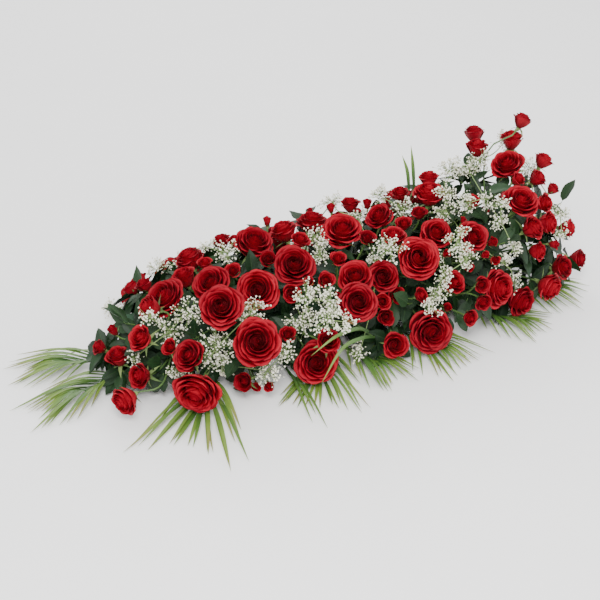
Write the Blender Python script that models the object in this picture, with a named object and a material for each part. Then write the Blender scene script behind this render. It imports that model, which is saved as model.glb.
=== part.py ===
"""Casket spray: red roses, gypsophila and palm fronds standing in floral foam in a tray.

The long axis is X, with the low tail of the spray at -X and its high head at +X. The front is -Y, Z is
up, and the origin is the middle of the tray's underside. All lengths are in metres.

A bloom, a gypsophila cloud or a leaf that the photograph shows is listed by the pixel it is seen at. Its
place is where the line of sight through that pixel meets the mound that the blooms stand on.
"""

import math
import random

import bmesh
import bpy
import numpy as np
from mathutils import Vector
from mathutils.bvhtree import BVHTree

# Tray and foam: three bricks of floral foam end to end
TRAY_LENGTH = 0.715
TRAY_WIDTH = 0.132
TRAY_HEIGHT = 0.034
TRAY_WALL = 0.0024
FOAM_LENGTH = 0.690
FOAM_WIDTH = 0.110
FOAM_HEIGHT = 0.080
GAP = 0.0003
FOAM_TOP = TRAY_WALL + GAP + FOAM_HEIGHT

# The mound through the middles of the blooms
MOUND_TAIL = -0.470
MOUND_HEAD = 0.600
MOUND_HALF_WIDTH = 0.225
MOUND_HEIGHT_TAIL = 0.215
MOUND_RISE_TO_HEAD = 0.200
MOUND_RISE_FROM = -0.100
MOUND_END_POWER = 3.0
MOUND_SIDE_POWER = 2.2

# How the photograph was taken: its pixels give the places of what it shows
VIEW_TURN = math.radians(25)
VIEW_ELEVATION = math.radians(30)
VIEW_DISTANCE = 3.2
VIEW_SCALE = 505.0
VIEW_MIDDLE = (300.0, 300.0)
VIEW_TARGET = Vector((0.0, 0.0, 0.06))

# Stems, and the holes that they stand in
STEM_RADIUS = 0.0028
BRANCH_RADIUS = 0.0020
TWIG_RADIUS = 0.0013
HOLE_DEPTH = 0.026
HEART_DEPTH = 0.030
FREE_STEM = 0.012
FOAM_END = 0.030
CLEARANCE = 0.0008
BENDS = (0.0, 0.008, 0.016, 0.026, 0.038)
SETTLE_TURNS = 600
GROUND_GAP = 0.012

# Blooms in the photograph: pixel x, y, diameter in millimetres, the clock hour that the bloom faces, and
# how far it turns that way from facing the viewer, in degrees
TAIL_BLOOMS = (
    (99, 347, 34, 10, 75), (118, 356, 52, 12, 75), (113, 330, 30, 11, 70), (141, 338, 54, 10, 45),
    (140, 376, 54, 9, 55), (125, 401, 58, 8, 65), (189, 356, 60, 10, 42), (170, 347, 36, 10, 40),
    (165, 298, 76, 10, 40), (149, 308, 54, 9, 72), (184, 277, 56, 11, 58), (189, 258, 58, 11, 70),
    (211, 284, 72, 10, 28), (221, 307, 80, 11, 8), (233, 271, 36, 12, 20), (221, 241, 44, 11, 72),
    (236, 241, 40, 12, 72), (205, 263, 34, 12, 50), (197, 392, 86, 7, 48), (244, 382, 42, 9, 40),
)
MIDDLE_BLOOMS = (
    (258, 290, 78, 7, 12), (254, 243, 76, 1, 35), (268, 259, 40, 12, 15), (283, 231, 58, 11, 72),
    (267, 221, 28, 12, 78), (300, 240, 42, 1, 50), (294, 265, 78, 12, 5), (292, 293, 40, 6, 20),
    (326, 280, 38, 1, 20), (309, 282, 28, 12, 20), (338, 259, 38, 12, 40), (342, 231, 80, 12, 30),
    (312, 222, 62, 12, 72), (310, 211, 20, 12, 75), (331, 208, 28, 12, 70), (350, 204, 44, 12, 72),
    (367, 204, 30, 12, 60), (379, 217, 58, 10, 42), (367, 238, 38, 1, 30), (393, 237, 56, 12, 58),
    (404, 224, 38, 12, 40), (419, 213, 36, 12, 55), (436, 233, 64, 1, 28), (418, 258, 82, 1, 8),
    (400, 193, 40, 12, 60), (429, 193, 64, 12, 62), (429, 178, 46, 12, 72), (355, 277, 66, 11, 28),
    (383, 277, 62, 12, 5), (358, 302, 72, 12, 5), (383, 302, 36, 6, 5), (397, 295, 38, 3, 10),
    (386, 317, 38, 6, 12), (421, 295, 34, 2, 58), (447, 308, 26, 12, 50), (431, 331, 84, 5, 14),
    (395, 345, 56, 12, 5), (316, 363, 80, 11, 12), (328, 341, 50, 12, 22), (288, 334, 36, 12, 35),
    (257, 342, 86, 12, 5), (337, 295, 18, 12, 40), (256, 386, 28, 6, 30), (269, 386, 30, 5, 20),
)
HEAD_BLOOMS = (
    (453, 283, 56, 2, 42), (473, 237, 62, 2, 24), (473, 201, 36, 1, 60), (463, 220, 18, 1, 68),
    (492, 242, 30, 2, 58), (485, 255, 24, 2, 50), (495, 260, 30, 5, 30), (482, 285, 38, 5, 20),
    (483, 302, 40, 5, 42), (498, 288, 74, 3, 52), (521, 301, 66, 4, 58), (470, 318, 38, 4, 38),
    (550, 287, 60, 4, 68), (562, 267, 56, 2, 45), (578, 259, 50, 3, 58), (538, 251, 46, 3, 68),
    (554, 244, 30, 3, 72), (568, 228, 48, 3, 78), (548, 223, 56, 3, 62), (533, 228, 56, 2, 58),
    (544, 203, 48, 3, 58), (521, 201, 70, 12, 34), (553, 188, 34, 1, 78), (538, 178, 44, 2, 64),
    (544, 160, 46, 1, 78), (518, 179, 36, 2, 58), (507, 165, 68, 10, 38), (512, 139, 56, 12, 58),
    (522, 120, 44, 1, 92), (474, 133, 52, 12, 78), (477, 147, 54, 12, 62), (446, 254, 24, 2, 40),
    (469, 267, 28, 5, 30),
)

# Blooms and clouds on the side that the photograph doesn't show
BACK_SEED = 7
BACK_DIAMETERS = (0.078, 0.060, 0.040, 0.074, 0.052, 0.040)
BACK_CLOUD_DIAMETER = 0.040
BACK_SPOTS = ((30, 0.80), (44, 0.82), (58, 0.90), (74, 1.0), (86, 1.0))
BACK_SPACING = 0.026
BACK_BLOOMS = 21
BACK_CLOUDS = 6

# Bunches of roses: the mound is shared out by how far round from the top a bloom is, and along the length
ROW_EDGES = (("low_front", -180, -62), ("front", -62, -22), ("top", -22, 26), ("back", 26, 180))
ROSE_COLUMNS = 7
FORK_AT = 0.44
FIRST_BRANCH_AT = 0.45
PAST_FORK = 0.0026
NECK_BELOW = 0.55
NECK_LENGTH = 0.012

# A bloom from the side, as shares of its diameter: (radius, height, depth of the notches between petals)
LARGE_BLOOM = ((0.32, -0.26, 0.00), (0.53, 0.13, 0.18), (0.36, 0.05, 0.00), (0.30, 0.27, 0.16),
               (0.13, 0.14, 0.00))
MEDIUM_BLOOM = ((0.33, -0.26, 0.00), (0.53, 0.16, 0.17), (0.33, 0.07, 0.00), (0.22, 0.29, 0.12))
SMALL_BLOOM = ((0.34, -0.22, 0.00), (0.53, 0.19, 0.15), (0.28, 0.08, 0.00))
BLOOM_BASE = -0.42
BLOOM_REACH = 0.545
BLOOM_SPIN = 0.74
LARGE_FROM = 0.072
MEDIUM_FROM = 0.057
SMALL_FROM = 0.041

# Gypsophila clouds in the photograph: pixel x, y and radius in millimetres
CLOUDS = (
    (188, 312, 28), (170, 331, 24), (216, 348, 36), (222, 366, 24), (181, 369, 20), (134, 358, 12),
    (150, 318, 14), (252, 312, 30), (267, 371, 26), (227, 253, 18), (207, 247, 14), (315, 238, 20),
    (320, 254, 20), (306, 298, 28), (330, 302, 26), (302, 321, 28), (327, 320, 26), (346, 322, 16),
    (286, 350, 16), (358, 217, 24), (333, 202, 18), (380, 196, 18), (404, 209, 22), (390, 249, 26),
    (376, 262, 14), (448, 172, 24), (445, 192, 18), (446, 211, 24), (458, 240, 24), (475, 244, 14),
    (467, 260, 18), (437, 258, 12), (444, 275, 18), (436, 292, 24), (431, 308, 16), (466, 166, 24),
    (480, 160, 20), (506, 140, 20), (530, 168, 20), (468, 203, 18), (487, 202, 14), (501, 205, 14),
    (501, 221, 16), (503, 263, 14), (514, 249, 14), (512, 282, 16), (560, 216, 22), (562, 233, 14),
    (360, 352, 12),
)
CLOUD_REACH = 0.80
CLOUD_CORE = 0.50
LARGE_CLOUD_FROM = 0.054
GYP_EDGES = (-0.50, -0.26, -0.12, 0.02, 0.15, 0.28, 0.41, 0.70)

# Palm fronds: where the rib comes down to the table and where it ends, pairs of leaflets, longest
# leaflet, its width, and the angles of the first and the last leaflets to the rib
FRONDS = (
    ("frond_tail_upper", (-0.388, 0.028), (-0.460, 0.042), 5, 0.178, 0.012, 26, 4),
    ("frond_tail_lower", (-0.392, -0.034), (-0.464, -0.056), 5, 0.182, 0.012, 26, 4),
    ("frond_front_tail", (-0.235, -0.110), (-0.285, -0.190), 5, 0.240, 0.012, 32, 6),
    ("frond_front_blades", (-0.094, -0.116), (-0.099, -0.166), 1, 0.215, 0.011, 8, 3),
    ("frond_front_fan", (-0.012, -0.120), (-0.048, -0.195), 5, 0.168, 0.010, 42, 8),
    ("frond_front_middle", (0.035, -0.115), (0.060, -0.190), 5, 0.140, 0.010, 32, 6),
    ("frond_front_right", (0.165, -0.115), (0.195, -0.205), 5, 0.145, 0.010, 46, 8),
    ("frond_front_head", (0.325, -0.100), (0.395, -0.175), 5, 0.125, 0.010, 46, 10),
    ("frond_head", (0.420, -0.030), (0.510, -0.100), 5, 0.145, 0.010, 44, 8),
    ("frond_back_head", (0.395, 0.045), (0.480, 0.135), 5, 0.150, 0.011, 42, 8),
    ("frond_back_middle", (0.100, 0.115), (0.150, 0.210), 5, 0.150, 0.012, 42, 8),
    ("frond_back_tail", (-0.120, 0.115), (-0.160, 0.205), 5, 0.150, 0.012, 40, 8),
)
RIB_LEVEL = 0.0075
TIP_LEVEL = 0.0035
RIB_HALF_WIDTH = 0.0020
FROND_THICKNESS = 0.0010
LIFTS = (0.014, 0.009, 0.005, 0.002, 0.0, -0.002)
FROND_AIM = 0.035

# Foliage between the blooms: the pixel at which each leafy stem ends, and how far a trial may stray from
# it in pixels and below the mound in metres
LEAFY_STEMS = ((127, 327), (198, 338), (236, 362), (411, 303), (481, 184), (514, 240),
               (568, 200))
LEAFY_STRAY = 7.0
LEAFY_DEPTHS = (0.0, 0.022)
LEAFY_TRIALS = 60
LEAF_SEED = 4
LEAF_LENGTH = 0.052
LEAF_WIDTH = 0.027
LEAF_SIZES = (1.1, 0.9, 0.7)
LEAVES_AT = (1.0, 0.88, 0.76, 0.64, 0.52, 0.40)
LEAF_ROOT = 0.16
LEAF_RINGS = (0.38, 0.72)
LEAF_WIDTHS = (1.0, 0.76)

# Blades of grass: pixel x, y and distance in front of the middle of the spray, from root to tip
UPRIGHT_BLADES = (((414, 190, -0.03), (413, 168, -0.04), (411, 145, -0.05)),
                  ((409, 190, -0.03), (407, 170, -0.04), (402, 155, -0.05)))
ARCHING_BLADES = (((369, 331, 0.19), (355, 329, 0.225), (335, 337, 0.245), (311, 356, 0.255)),
                  ((375, 337, 0.19), (362, 338, 0.225), (345, 346, 0.245), (321, 384, 0.255)))
GRASS_WIDTH = 0.0075


def main():
    clear_scene()
    finishes = make_finishes()
    spray = new_collection("casket_spray")
    room = Room(ball_places())
    build_tray(spray, finishes)
    build_rose_bunches(spray, finishes, room)
    build_fronds(spray, finishes, room)
    build_gypsophila(spray, finishes, room)
    build_leafy_stems(spray, finishes, room)
    build_grass("grass_upright", UPRIGHT_BLADES, spray, finishes, room)
    build_grass("grass_arching", ARCHING_BLADES, spray, finishes, room)
    build_foam(spray, finishes, room.holes)


def clear_scene():
    for obj in list(bpy.data.objects):
        bpy.data.objects.remove(obj)


def new_collection(name):
    collection = bpy.data.collections.new(name)
    bpy.context.scene.collection.children.link(collection)
    return collection


def make_finishes():
    """The materials of the spray: name, colour and roughness."""
    finishes = {}
    for name, colour, roughness in (
        ("petal", (0.52, 0.010, 0.018), 0.55),
        ("gypsophila", (0.86, 0.84, 0.74), 0.70),
        ("palm", (0.16, 0.30, 0.05), 0.45),
        ("leaf", (0.04, 0.13, 0.04), 0.40),
        ("foam", (0.10, 0.22, 0.10), 0.95),
        ("tray", (0.02, 0.07, 0.03), 0.40),
    ):
        material = bpy.data.materials.new(name)
        material.use_nodes = True
        shader = material.node_tree.nodes["Principled BSDF"]
        shader.inputs["Base Color"].default_value = (*colour, 1.0)
        shader.inputs["Roughness"].default_value = roughness
        material.diffuse_color = (*colour, 1.0)
        finishes[name] = material
    return finishes


# The view and the mound


def view_axes():
    """The viewer's right, up and towards-the-viewer directions."""
    away = Vector((math.sin(VIEW_TURN), math.cos(VIEW_TURN), 0.0))
    right = Vector((math.cos(VIEW_TURN), -math.sin(VIEW_TURN), 0.0))
    up = away * math.sin(VIEW_ELEVATION) + Vector((0, 0, math.cos(VIEW_ELEVATION)))
    back = Vector((0, 0, math.sin(VIEW_ELEVATION))) - away * math.cos(VIEW_ELEVATION)
    return right, up, back


RIGHT, UP, BACK = view_axes()
VIEWER = VIEW_TARGET + BACK * VIEW_DISTANCE


def sight_line(x, y):
    """The direction from the viewer through a pixel."""
    focal = VIEW_SCALE * VIEW_DISTANCE
    line = -BACK * focal + RIGHT * (x - VIEW_MIDDLE[0]) + UP * (VIEW_MIDDLE[1] - y)
    return line.normalized()


def mound_height(x):
    rise = min(max((x - MOUND_RISE_FROM) / (MOUND_HEAD - MOUND_RISE_FROM), 0.0), 1.0)
    return MOUND_HEIGHT_TAIL + MOUND_RISE_TO_HEAD * rise * rise


def mound(point):
    """Below 0 inside the mound and above 0 outside it."""
    middle = (MOUND_HEAD + MOUND_TAIL) / 2
    along = abs(point.x - middle) / ((MOUND_HEAD - MOUND_TAIL) / 2)
    across = abs(point.y) / MOUND_HALF_WIDTH
    above = max(point.z, 0.0) / mound_height(point.x)
    return along**MOUND_END_POWER + across**MOUND_SIDE_POWER + above**MOUND_SIDE_POWER - 1.0


def mound_normal(point):
    step = 0.004
    slope = [mound(point + step * axis) - mound(point - step * axis)
             for axis in (Vector((1, 0, 0)), Vector((0, 1, 0)), Vector((0, 0, 1)))]
    return Vector(slope).normalized()


def along_sight(line, far=VIEW_DISTANCE + 0.8):
    """Points every 4 mm along a line of sight, where it can be in the spray."""
    start, step = VIEW_DISTANCE - 0.8, 0.004
    return [VIEWER + line * (start + i * step) for i in range(int((far - start) / step))]


def seen_on_mound(x, y):
    """Where the line of sight through a pixel meets the mound, or passes it closest."""
    points = along_sight(sight_line(x, y))
    inside = [p for p in points if mound(p) < 0.0]
    if inside:
        return inside[0]
    return min((p for p in points if abs(p.y) < MOUND_HALF_WIDTH / 2), key=mound)


def hidden(place, reach):
    """Whether the mound stands between the viewer and a ball."""
    line = place + UP * reach - VIEWER
    return any(mound(p) < -0.04 for p in along_sight(line.normalized(), line.length - reach))


def facing(hour, tilt):
    """The direction that a bloom faces, from the clock hour it turns to and how far it turns."""
    turn, lean = math.radians(30 * hour), math.radians(tilt)
    aside = RIGHT * math.sin(turn) + UP * math.cos(turn)
    return (BACK * math.cos(lean) + aside * math.sin(lean)).normalized()


# Where the blooms and the clouds of gypsophila are


class Ball:
    """A bloom or a cloud, as the ball that it stays inside."""

    def __init__(self, kind, place, diameter, axis, sight=None):
        self.kind = kind
        self.place = place
        self.diameter = diameter
        self.axis = axis
        self.sight = sight
        self.reach = diameter * (BLOOM_REACH if kind == "bloom" else CLOUD_REACH / 2)

    def base(self):
        """Where the stem meets it."""
        return self.place + self.axis * (BLOOM_BASE * self.diameter if self.kind == "bloom" else 0.0)


def ball_places():
    balls = []
    for x, y, diameter, hour, tilt in TAIL_BLOOMS + MIDDLE_BLOOMS + HEAD_BLOOMS:
        place = seen_on_mound(x, y)
        axis = (facing(hour, tilt) * 2 + mound_normal(place)).normalized()
        balls.append(Ball("bloom", place, diameter / 1000, axis, sight_line(x, y)))
    for x, y, radius in CLOUDS:
        place = seen_on_mound(x, y)
        balls.append(Ball("cloud", place, radius / 500, mound_normal(place), sight_line(x, y)))
    settle(balls)
    add_back_balls(balls)
    return balls


def settle(balls):
    """Slides the balls along their lines of sight until none runs into another or into the table."""
    places = np.array([b.place for b in balls])
    sights = np.array([b.sight for b in balls])
    reaches = np.array([b.reach for b in balls])
    need = reaches[:, None] + reaches[None] + CLEARANCE
    np.fill_diagonal(need, 0.0)
    homes = places.copy()
    lightness = reaches**-2
    share = 2 * lightness[:, None] / (lightness[:, None] + lightness[None])
    for turn in range(SETTLE_TURNS):
        apart = places[None] - places[:, None]
        distance = np.linalg.norm(apart, axis=2)
        depth = np.einsum("ijk,ik->ij", apart, sights)
        depth = (depth - depth.T) / 2
        aside = np.sqrt(np.maximum(distance**2 - depth**2, 0.0))
        wanted = np.sqrt(np.maximum(need**2 - aside**2, 0.0))
        push = np.where(distance < need, 0.30 * share * (wanted - np.abs(depth)), 0.0)
        places -= (np.where(depth >= 0, push, -push).sum(axis=1))[:, None] * sights
        if turn < SETTLE_TURNS * 0.7:
            places += 0.04 * (homes - places)
        lift = np.maximum(reaches + GROUND_GAP - places[:, 2], 0.0)
        places += sights * (lift / sights[:, 2])[:, None]
    for ball, place in zip(balls, places):
        ball.place = Vector(place)


def on_mound(x, angle, shrink=1.0):
    """The point of the mound at x, this many degrees round from the top towards the back."""
    aside = Vector((0, math.sin(math.radians(angle)), math.cos(math.radians(angle))))
    low, high = 0.0, 0.6
    for _ in range(30):
        reach = (low + high) / 2
        low, high = (reach, high) if mound(Vector((x, 0, 0)) + aside * reach) < 0 else (low, reach)
    return Vector((x, 0, 0)) + aside * (low * shrink)


def add_back_balls(balls):
    """Fills the far side of the mound, wherever there is room that the viewer can't see."""
    draw = random.Random(BACK_SEED)
    spots = []
    x = MOUND_TAIL + 0.03
    while x < MOUND_HEAD - 0.03:
        spots += [(x + draw.uniform(-0.01, 0.01), angle + draw.uniform(-5, 5), shrink)
                  for angle, shrink in BACK_SPOTS]
        x += BACK_SPACING
    draw.shuffle(spots)
    wanted = [("bloom", BACK_DIAMETERS[i % len(BACK_DIAMETERS)]) for i in range(BACK_BLOOMS)]
    wanted += [("cloud", BACK_CLOUD_DIAMETER)] * BACK_CLOUDS
    for kind, diameter in wanted:
        for x, angle, shrink in spots:
            place = on_mound(x, angle, shrink)
            ball = Ball(kind, place, diameter, mound_normal(place))
            place.z = max(place.z, ball.reach + GROUND_GAP)
            apart = [(place - b.place).length - ball.reach - b.reach for b in balls]
            if min(apart) > 2 * CLEARANCE and hidden(place, ball.reach):
                balls.append(ball)
                break


# Room for stems and leaves


class Room:
    """What stands where, so that a new stem or leaf can be kept clear of it."""

    def __init__(self, balls):
        self.balls = balls
        self.centres = np.array([b.place for b in balls])
        self.reaches = np.array([b.reach for b in balls])
        self.starts = np.zeros((0, 3))
        self.ends = np.zeros((0, 3))
        self.radii = np.zeros(0)
        self.owners = np.zeros(0, dtype=object)
        self.trees = []
        self.holes = []

    def add_bars(self, path, radius, owner):
        self.starts = np.vstack((self.starts, [tuple(p) for p in path[:-1]]))
        self.ends = np.vstack((self.ends, [tuple(p) for p in path[1:]]))
        self.radii = np.append(self.radii, [radius] * (len(path) - 1))
        self.owners = np.append(self.owners, [owner] * (len(path) - 1))

    def space(self, path, radius, owner, skip=(), foam=True):
        """How much room there is round a path: below 0, it runs into something."""
        points = []
        for first, second in zip(path, path[1:]):
            count = max(int((second - first).length / 0.002), 1)
            points += [tuple(first.lerp(second, i / count)) for i in range(count + 1)]
        points = np.array(points)
        distance = np.linalg.norm(points[:, None] - self.centres[None], axis=2) - self.reaches
        distance[:, list(skip)] = 1.0
        least = distance.min() - radius
        others = self.owners != owner
        if others.any():
            starts, ends = self.starts[others], self.ends[others]
            along = ends - starts
            share = np.einsum("pbk,bk->pb", points[:, None] - starts[None], along)
            share = np.clip(share / np.einsum("bk,bk->b", along, along), 0.0, 1.0)
            gap = np.linalg.norm(points[:, None] - (starts + share[..., None] * along), axis=2)
            least = min(least, (gap - self.radii[others]).min() - radius)
        if foam:
            beyond = np.stack((np.abs(points[:, 0]) - FOAM_LENGTH / 2, np.abs(points[:, 1]) - FOAM_WIDTH / 2,
                               points[:, 2] - FOAM_TOP)).max(axis=0)
            least = min(least, beyond.min() - radius)
        return min(least, points[:, 2].min() - radius - 0.002) - CLEARANCE

    def route(self, start, finish, radius, owner, skip=()):
        """A path between two points, bent aside where the straight one runs into something."""
        way = finish - start
        aside = way.cross(Vector((0, 0, 1)))
        aside = aside.normalized() if aside.length > 0.001 else Vector((1, 0, 0))
        over = aside.cross(way).normalized()
        best, most = None, -1.0
        for reach in BENDS:
            for turn in range(8 if reach else 1):
                angle = math.pi * turn / 4
                for share in ((0.5, 0.75, 0.3) if reach else (0.5,)):
                    bend = aside * (reach * math.cos(angle)) + over * (reach * math.sin(angle))
                    path = (start, start + way * share + bend, finish) if reach else (start, finish)
                    space = self.space(path, radius, owner, skip)
                    if space > 0:
                        return path, space
                    if space > most:
                        best, most = path, space
        return best, most


def foam_share(x, share=0.6):
    """How far along the foam the stem of something that stands at x starts."""
    end = FOAM_LENGTH / 2 - FOAM_END
    return max(min(x * share, end), -end)


def foam_stem(room, x, target, radius, owner, shifts=(0.0,)):
    """A stem from inside the foam towards a target: its foot, the mouth of its hole, and its way."""
    best = None
    for shift in shifts:
        heart = Vector((x + shift, 0, FOAM_TOP - HEART_DEPTH))
        way = (target - heart).normalized()
        out = min(
            (half - abs(start)) / abs(step)
            for half, start, step in ((FOAM_LENGTH / 2, heart.x, way.x), (FOAM_WIDTH / 2, 0.0, way.y),
                                      (HEART_DEPTH, 0.0, way.z)) if abs(step) > 1e-6
        )
        mouth = heart + way * out
        foot = mouth - way * (HOLE_DEPTH - 2 * GAP)
        space = room.space((foot, mouth + way * FREE_STEM), radius, owner, foam=False)
        if best is None or space > best[0]:
            best = (space, foot, mouth, way)
        if space > 0:
            break
    _, foot, mouth, way = best
    room.holes.append((mouth, way, radius))
    return foot, mouth, way


# Solids


def new_object(name, collection, bm, *finishes):
    mesh = bpy.data.meshes.new(name)
    bm.to_mesh(mesh)
    bm.free()
    for finish in finishes:
        mesh.materials.append(finish)
    obj = bpy.data.objects.new(name, mesh)
    collection.objects.link(obj)
    return obj


def bloom_solid(bloom, spin, path):
    """A globe whose rings are drawn into a cup and the wavy rims of the petals inside it, on its branch."""
    wide = bloom.diameter
    rings = LARGE_BLOOM if wide >= LARGE_FROM else MEDIUM_BLOOM if wide >= MEDIUM_FROM else SMALL_BLOOM
    petals = 5 if wide >= MEDIUM_FROM else 4 if wide >= SMALL_FROM else 3
    bm = bar(path, (BRANCH_RADIUS,) * len(path), open_end=True)
    rim = [e for e in bm.edges if e.is_boundary]
    made = bmesh.ops.create_uvsphere(bm, u_segments=2 * petals, v_segments=len(rings) + 1, radius=1.0)["verts"]
    heights = {v: round(v.co.z, 5) for v in made}
    levels = sorted(set(heights.values()))
    turned = bloom.axis.to_track_quat("Z", "Y")
    for v in made:
        level = levels.index(heights[v])
        if level == 0:
            pole = v
            continue
        if level > len(rings):
            v.co = Vector((0, 0, rings[-1][1] + (-0.09 if rings[-1][2] else 0.14)))
        else:
            radius, height, notch = rings[level - 1]
            angle = math.atan2(v.co.y, v.co.x)
            lobe = math.cos(petals * angle + math.pi * (level // 2))
            radius *= 1.0 - notch * (1.0 - lobe) / 2
            height -= notch * 0.5 * (1.0 - lobe) / 2
            v.co = Vector((math.cos(angle + spin) * radius, math.sin(angle + spin) * radius, height))
        v.co = bloom.place + turned @ (v.co * wide)
    cup = [e for f in pole.link_faces for e in f.edges if pole not in e.verts]
    bmesh.ops.delete(bm, geom=[pole], context="VERTS")
    bmesh.ops.bridge_loops(bm, edges=rim + cup)
    bmesh.ops.recalc_face_normals(bm, faces=bm.faces)
    stem = {v for v in bm.verts if v not in made}
    for f in bm.faces:
        f.material_index = 1 if all(v in stem for v in f.verts) else 0
    return bm


def cloud_solid(cloud, draw):
    """A small core with clumps of florets standing out of it: twenty on a large cloud, eight on a small one."""
    bm = bmesh.new()
    if cloud.diameter >= LARGE_CLOUD_FROM:
        bmesh.ops.create_icosphere(bm, subdivisions=1, radius=1.0)
    else:
        bmesh.ops.create_uvsphere(bm, u_segments=4, v_segments=2, radius=1.0)
    poked = bmesh.ops.poke(bm, faces=bm.faces[:])["verts"]
    turned = Vector([draw.uniform(-1, 1) for _ in range(3)]).to_track_quat("Z", "Y")
    for v in bm.verts:
        length = draw.uniform(0.78, 1.0) if v in poked else CLOUD_CORE * draw.uniform(0.9, 1.2)
        v.co = cloud.place + turned @ (v.co.normalized() * (length * cloud.reach))
    return bm


def bar(path, radii, sides=3, open_end=False):
    """A tapering bar through the points of a path."""
    bm = bmesh.new()
    rings = []
    for i, point in enumerate(path):
        ahead = (path[min(i + 1, len(path) - 1)] - path[max(i - 1, 0)]).normalized()
        aside = ahead.cross(Vector((0, 0, 1)))
        aside = aside.normalized() if aside.length > 0.05 else Vector((1, 0, 0))
        over = aside.cross(ahead).normalized()
        rings.append([
            bm.verts.new(point + aside * (radii[i] * math.cos(a)) + over * (radii[i] * math.sin(a)))
            for a in (math.pi / 2 + 2 * math.pi * k / sides for k in range(sides))
        ])
    for first, second in zip(rings, rings[1:]):
        for k in range(sides):
            bm.faces.new((first[k], first[(k + 1) % sides], second[(k + 1) % sides], second[k]))
    bm.faces.new(rings[0][::-1])
    if not open_end:
        bm.faces.new(rings[-1])
    bmesh.ops.recalc_face_normals(bm, faces=bm.faces)
    return bm


def blade(path, widths, up, keel=0.0016):
    """A leaf or leaflet along a path: two halves folded a little along a keel, pointed where its width is 0."""
    bm = bmesh.new()
    rings = []
    for i, point in enumerate(path):
        ahead = (path[min(i + 1, len(path) - 1)] - path[max(i - 1, 0)]).normalized()
        aside = ahead.cross(up).normalized()
        over = aside.cross(ahead).normalized()
        if widths[i] == 0:
            rings.append([bm.verts.new(point)] * 3)
            continue
        half, fold = widths[i] / 2, min(keel, widths[i] * 0.30)
        rings.append([bm.verts.new(point - aside * half), bm.verts.new(point + aside * half),
                      bm.verts.new(point - over * fold)])
    for first, second in zip(rings, rings[1:]):
        for k in range(3):
            corners = (first[k], first[(k + 1) % 3], second[(k + 1) % 3], second[k])
            bm.faces.new(sorted(set(corners), key=corners.index))
    if widths[0]:
        bm.faces.new(rings[0])
    bmesh.ops.recalc_face_normals(bm, faces=bm.faces)
    bmesh.ops.triangulate(bm, faces=bm.faces)
    return bm


def fused(name, collection, pieces):
    """One solid from overlapping pieces, each with its finish, by a single union."""
    others = new_collection(name + "_pieces")
    whole = new_object(name, collection, *pieces[0])
    for i, piece in enumerate(pieces[1:]):
        new_object(f"{name}_piece_{i}", others, *piece)
    union = whole.modifiers.new("union", "BOOLEAN")
    union.operation = "UNION"
    union.operand_type = "COLLECTION"
    union.collection = others
    union.solver = "MANIFOLD"
    union.material_mode = "TRANSFER"
    graph = bpy.context.evaluated_depsgraph_get()
    joined = bpy.data.meshes.new_from_object(whole.evaluated_get(graph))
    whole.modifiers.clear()
    whole.data = joined
    for obj in list(others.objects):
        bpy.data.objects.remove(obj)
    bpy.data.collections.remove(others)
    return whole


# Tray and foam


def build_tray(collection, finishes):
    bm = bmesh.new()
    bmesh.ops.create_cube(bm, size=1.0)
    bmesh.ops.scale(bm, vec=(TRAY_LENGTH, TRAY_WIDTH, TRAY_HEIGHT), verts=bm.verts)
    bmesh.ops.translate(bm, vec=(0, 0, TRAY_HEIGHT / 2), verts=bm.verts)
    top = [f for f in bm.faces if f.normal.z > 0.5]
    bmesh.ops.inset_region(bm, faces=top, thickness=TRAY_WALL)
    inner = [f for f in bm.faces if f.normal.z > 0.5 and f.calc_area() > 0.5 * TRAY_LENGTH * TRAY_WIDTH]
    sunk = bmesh.ops.extrude_discrete_faces(bm, faces=inner)["faces"]
    floor = {v for f in sunk for v in f.verts}
    bmesh.ops.translate(bm, vec=(0, 0, TRAY_WALL - TRAY_HEIGHT), verts=list(floor))
    return new_object("tray", collection, bm, finishes["tray"])


def build_foam(collection, finishes, holes):
    bm = bmesh.new()
    bmesh.ops.create_cube(bm, size=1.0)
    bmesh.ops.scale(bm, vec=(FOAM_LENGTH, FOAM_WIDTH, FOAM_HEIGHT), verts=bm.verts)
    bmesh.ops.translate(bm, vec=(0, 0, FOAM_HEIGHT / 2 + TRAY_WALL + GAP), verts=bm.verts)
    foam = new_object("foam", collection, bm, finishes["foam"])
    cutters = new_collection("stem_holes")
    for i, (mouth, way, radius) in enumerate(holes):
        path = (mouth - way * HOLE_DEPTH, mouth + way * FREE_STEM)
        cutter = new_object(f"hole_{i}", cutters, bar(path, (radius + 2.2 * GAP,) * 2), finishes["foam"])
        cutter.hide_render = True
        cutter.display_type = "WIRE"
    drilled = foam.modifiers.new("stem holes", "BOOLEAN")
    drilled.operation = "DIFFERENCE"
    drilled.operand_type = "COLLECTION"
    drilled.collection = cutters
    drilled.solver = "MANIFOLD"


# Bunches of roses


def bunch_of(bloom):
    """The bunch that a bloom belongs to: its row round the mound and its column along it."""
    around = math.degrees(math.atan2(bloom.place.y, bloom.place.z - 0.03))
    row = next(name for name, low, high in ROW_EDGES if low <= around < high)
    share = (bloom.place.x - MOUND_TAIL) / (MOUND_HEAD - MOUND_TAIL)
    return row, min(max(int(share * ROSE_COLUMNS), 0), ROSE_COLUMNS - 1)


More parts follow.
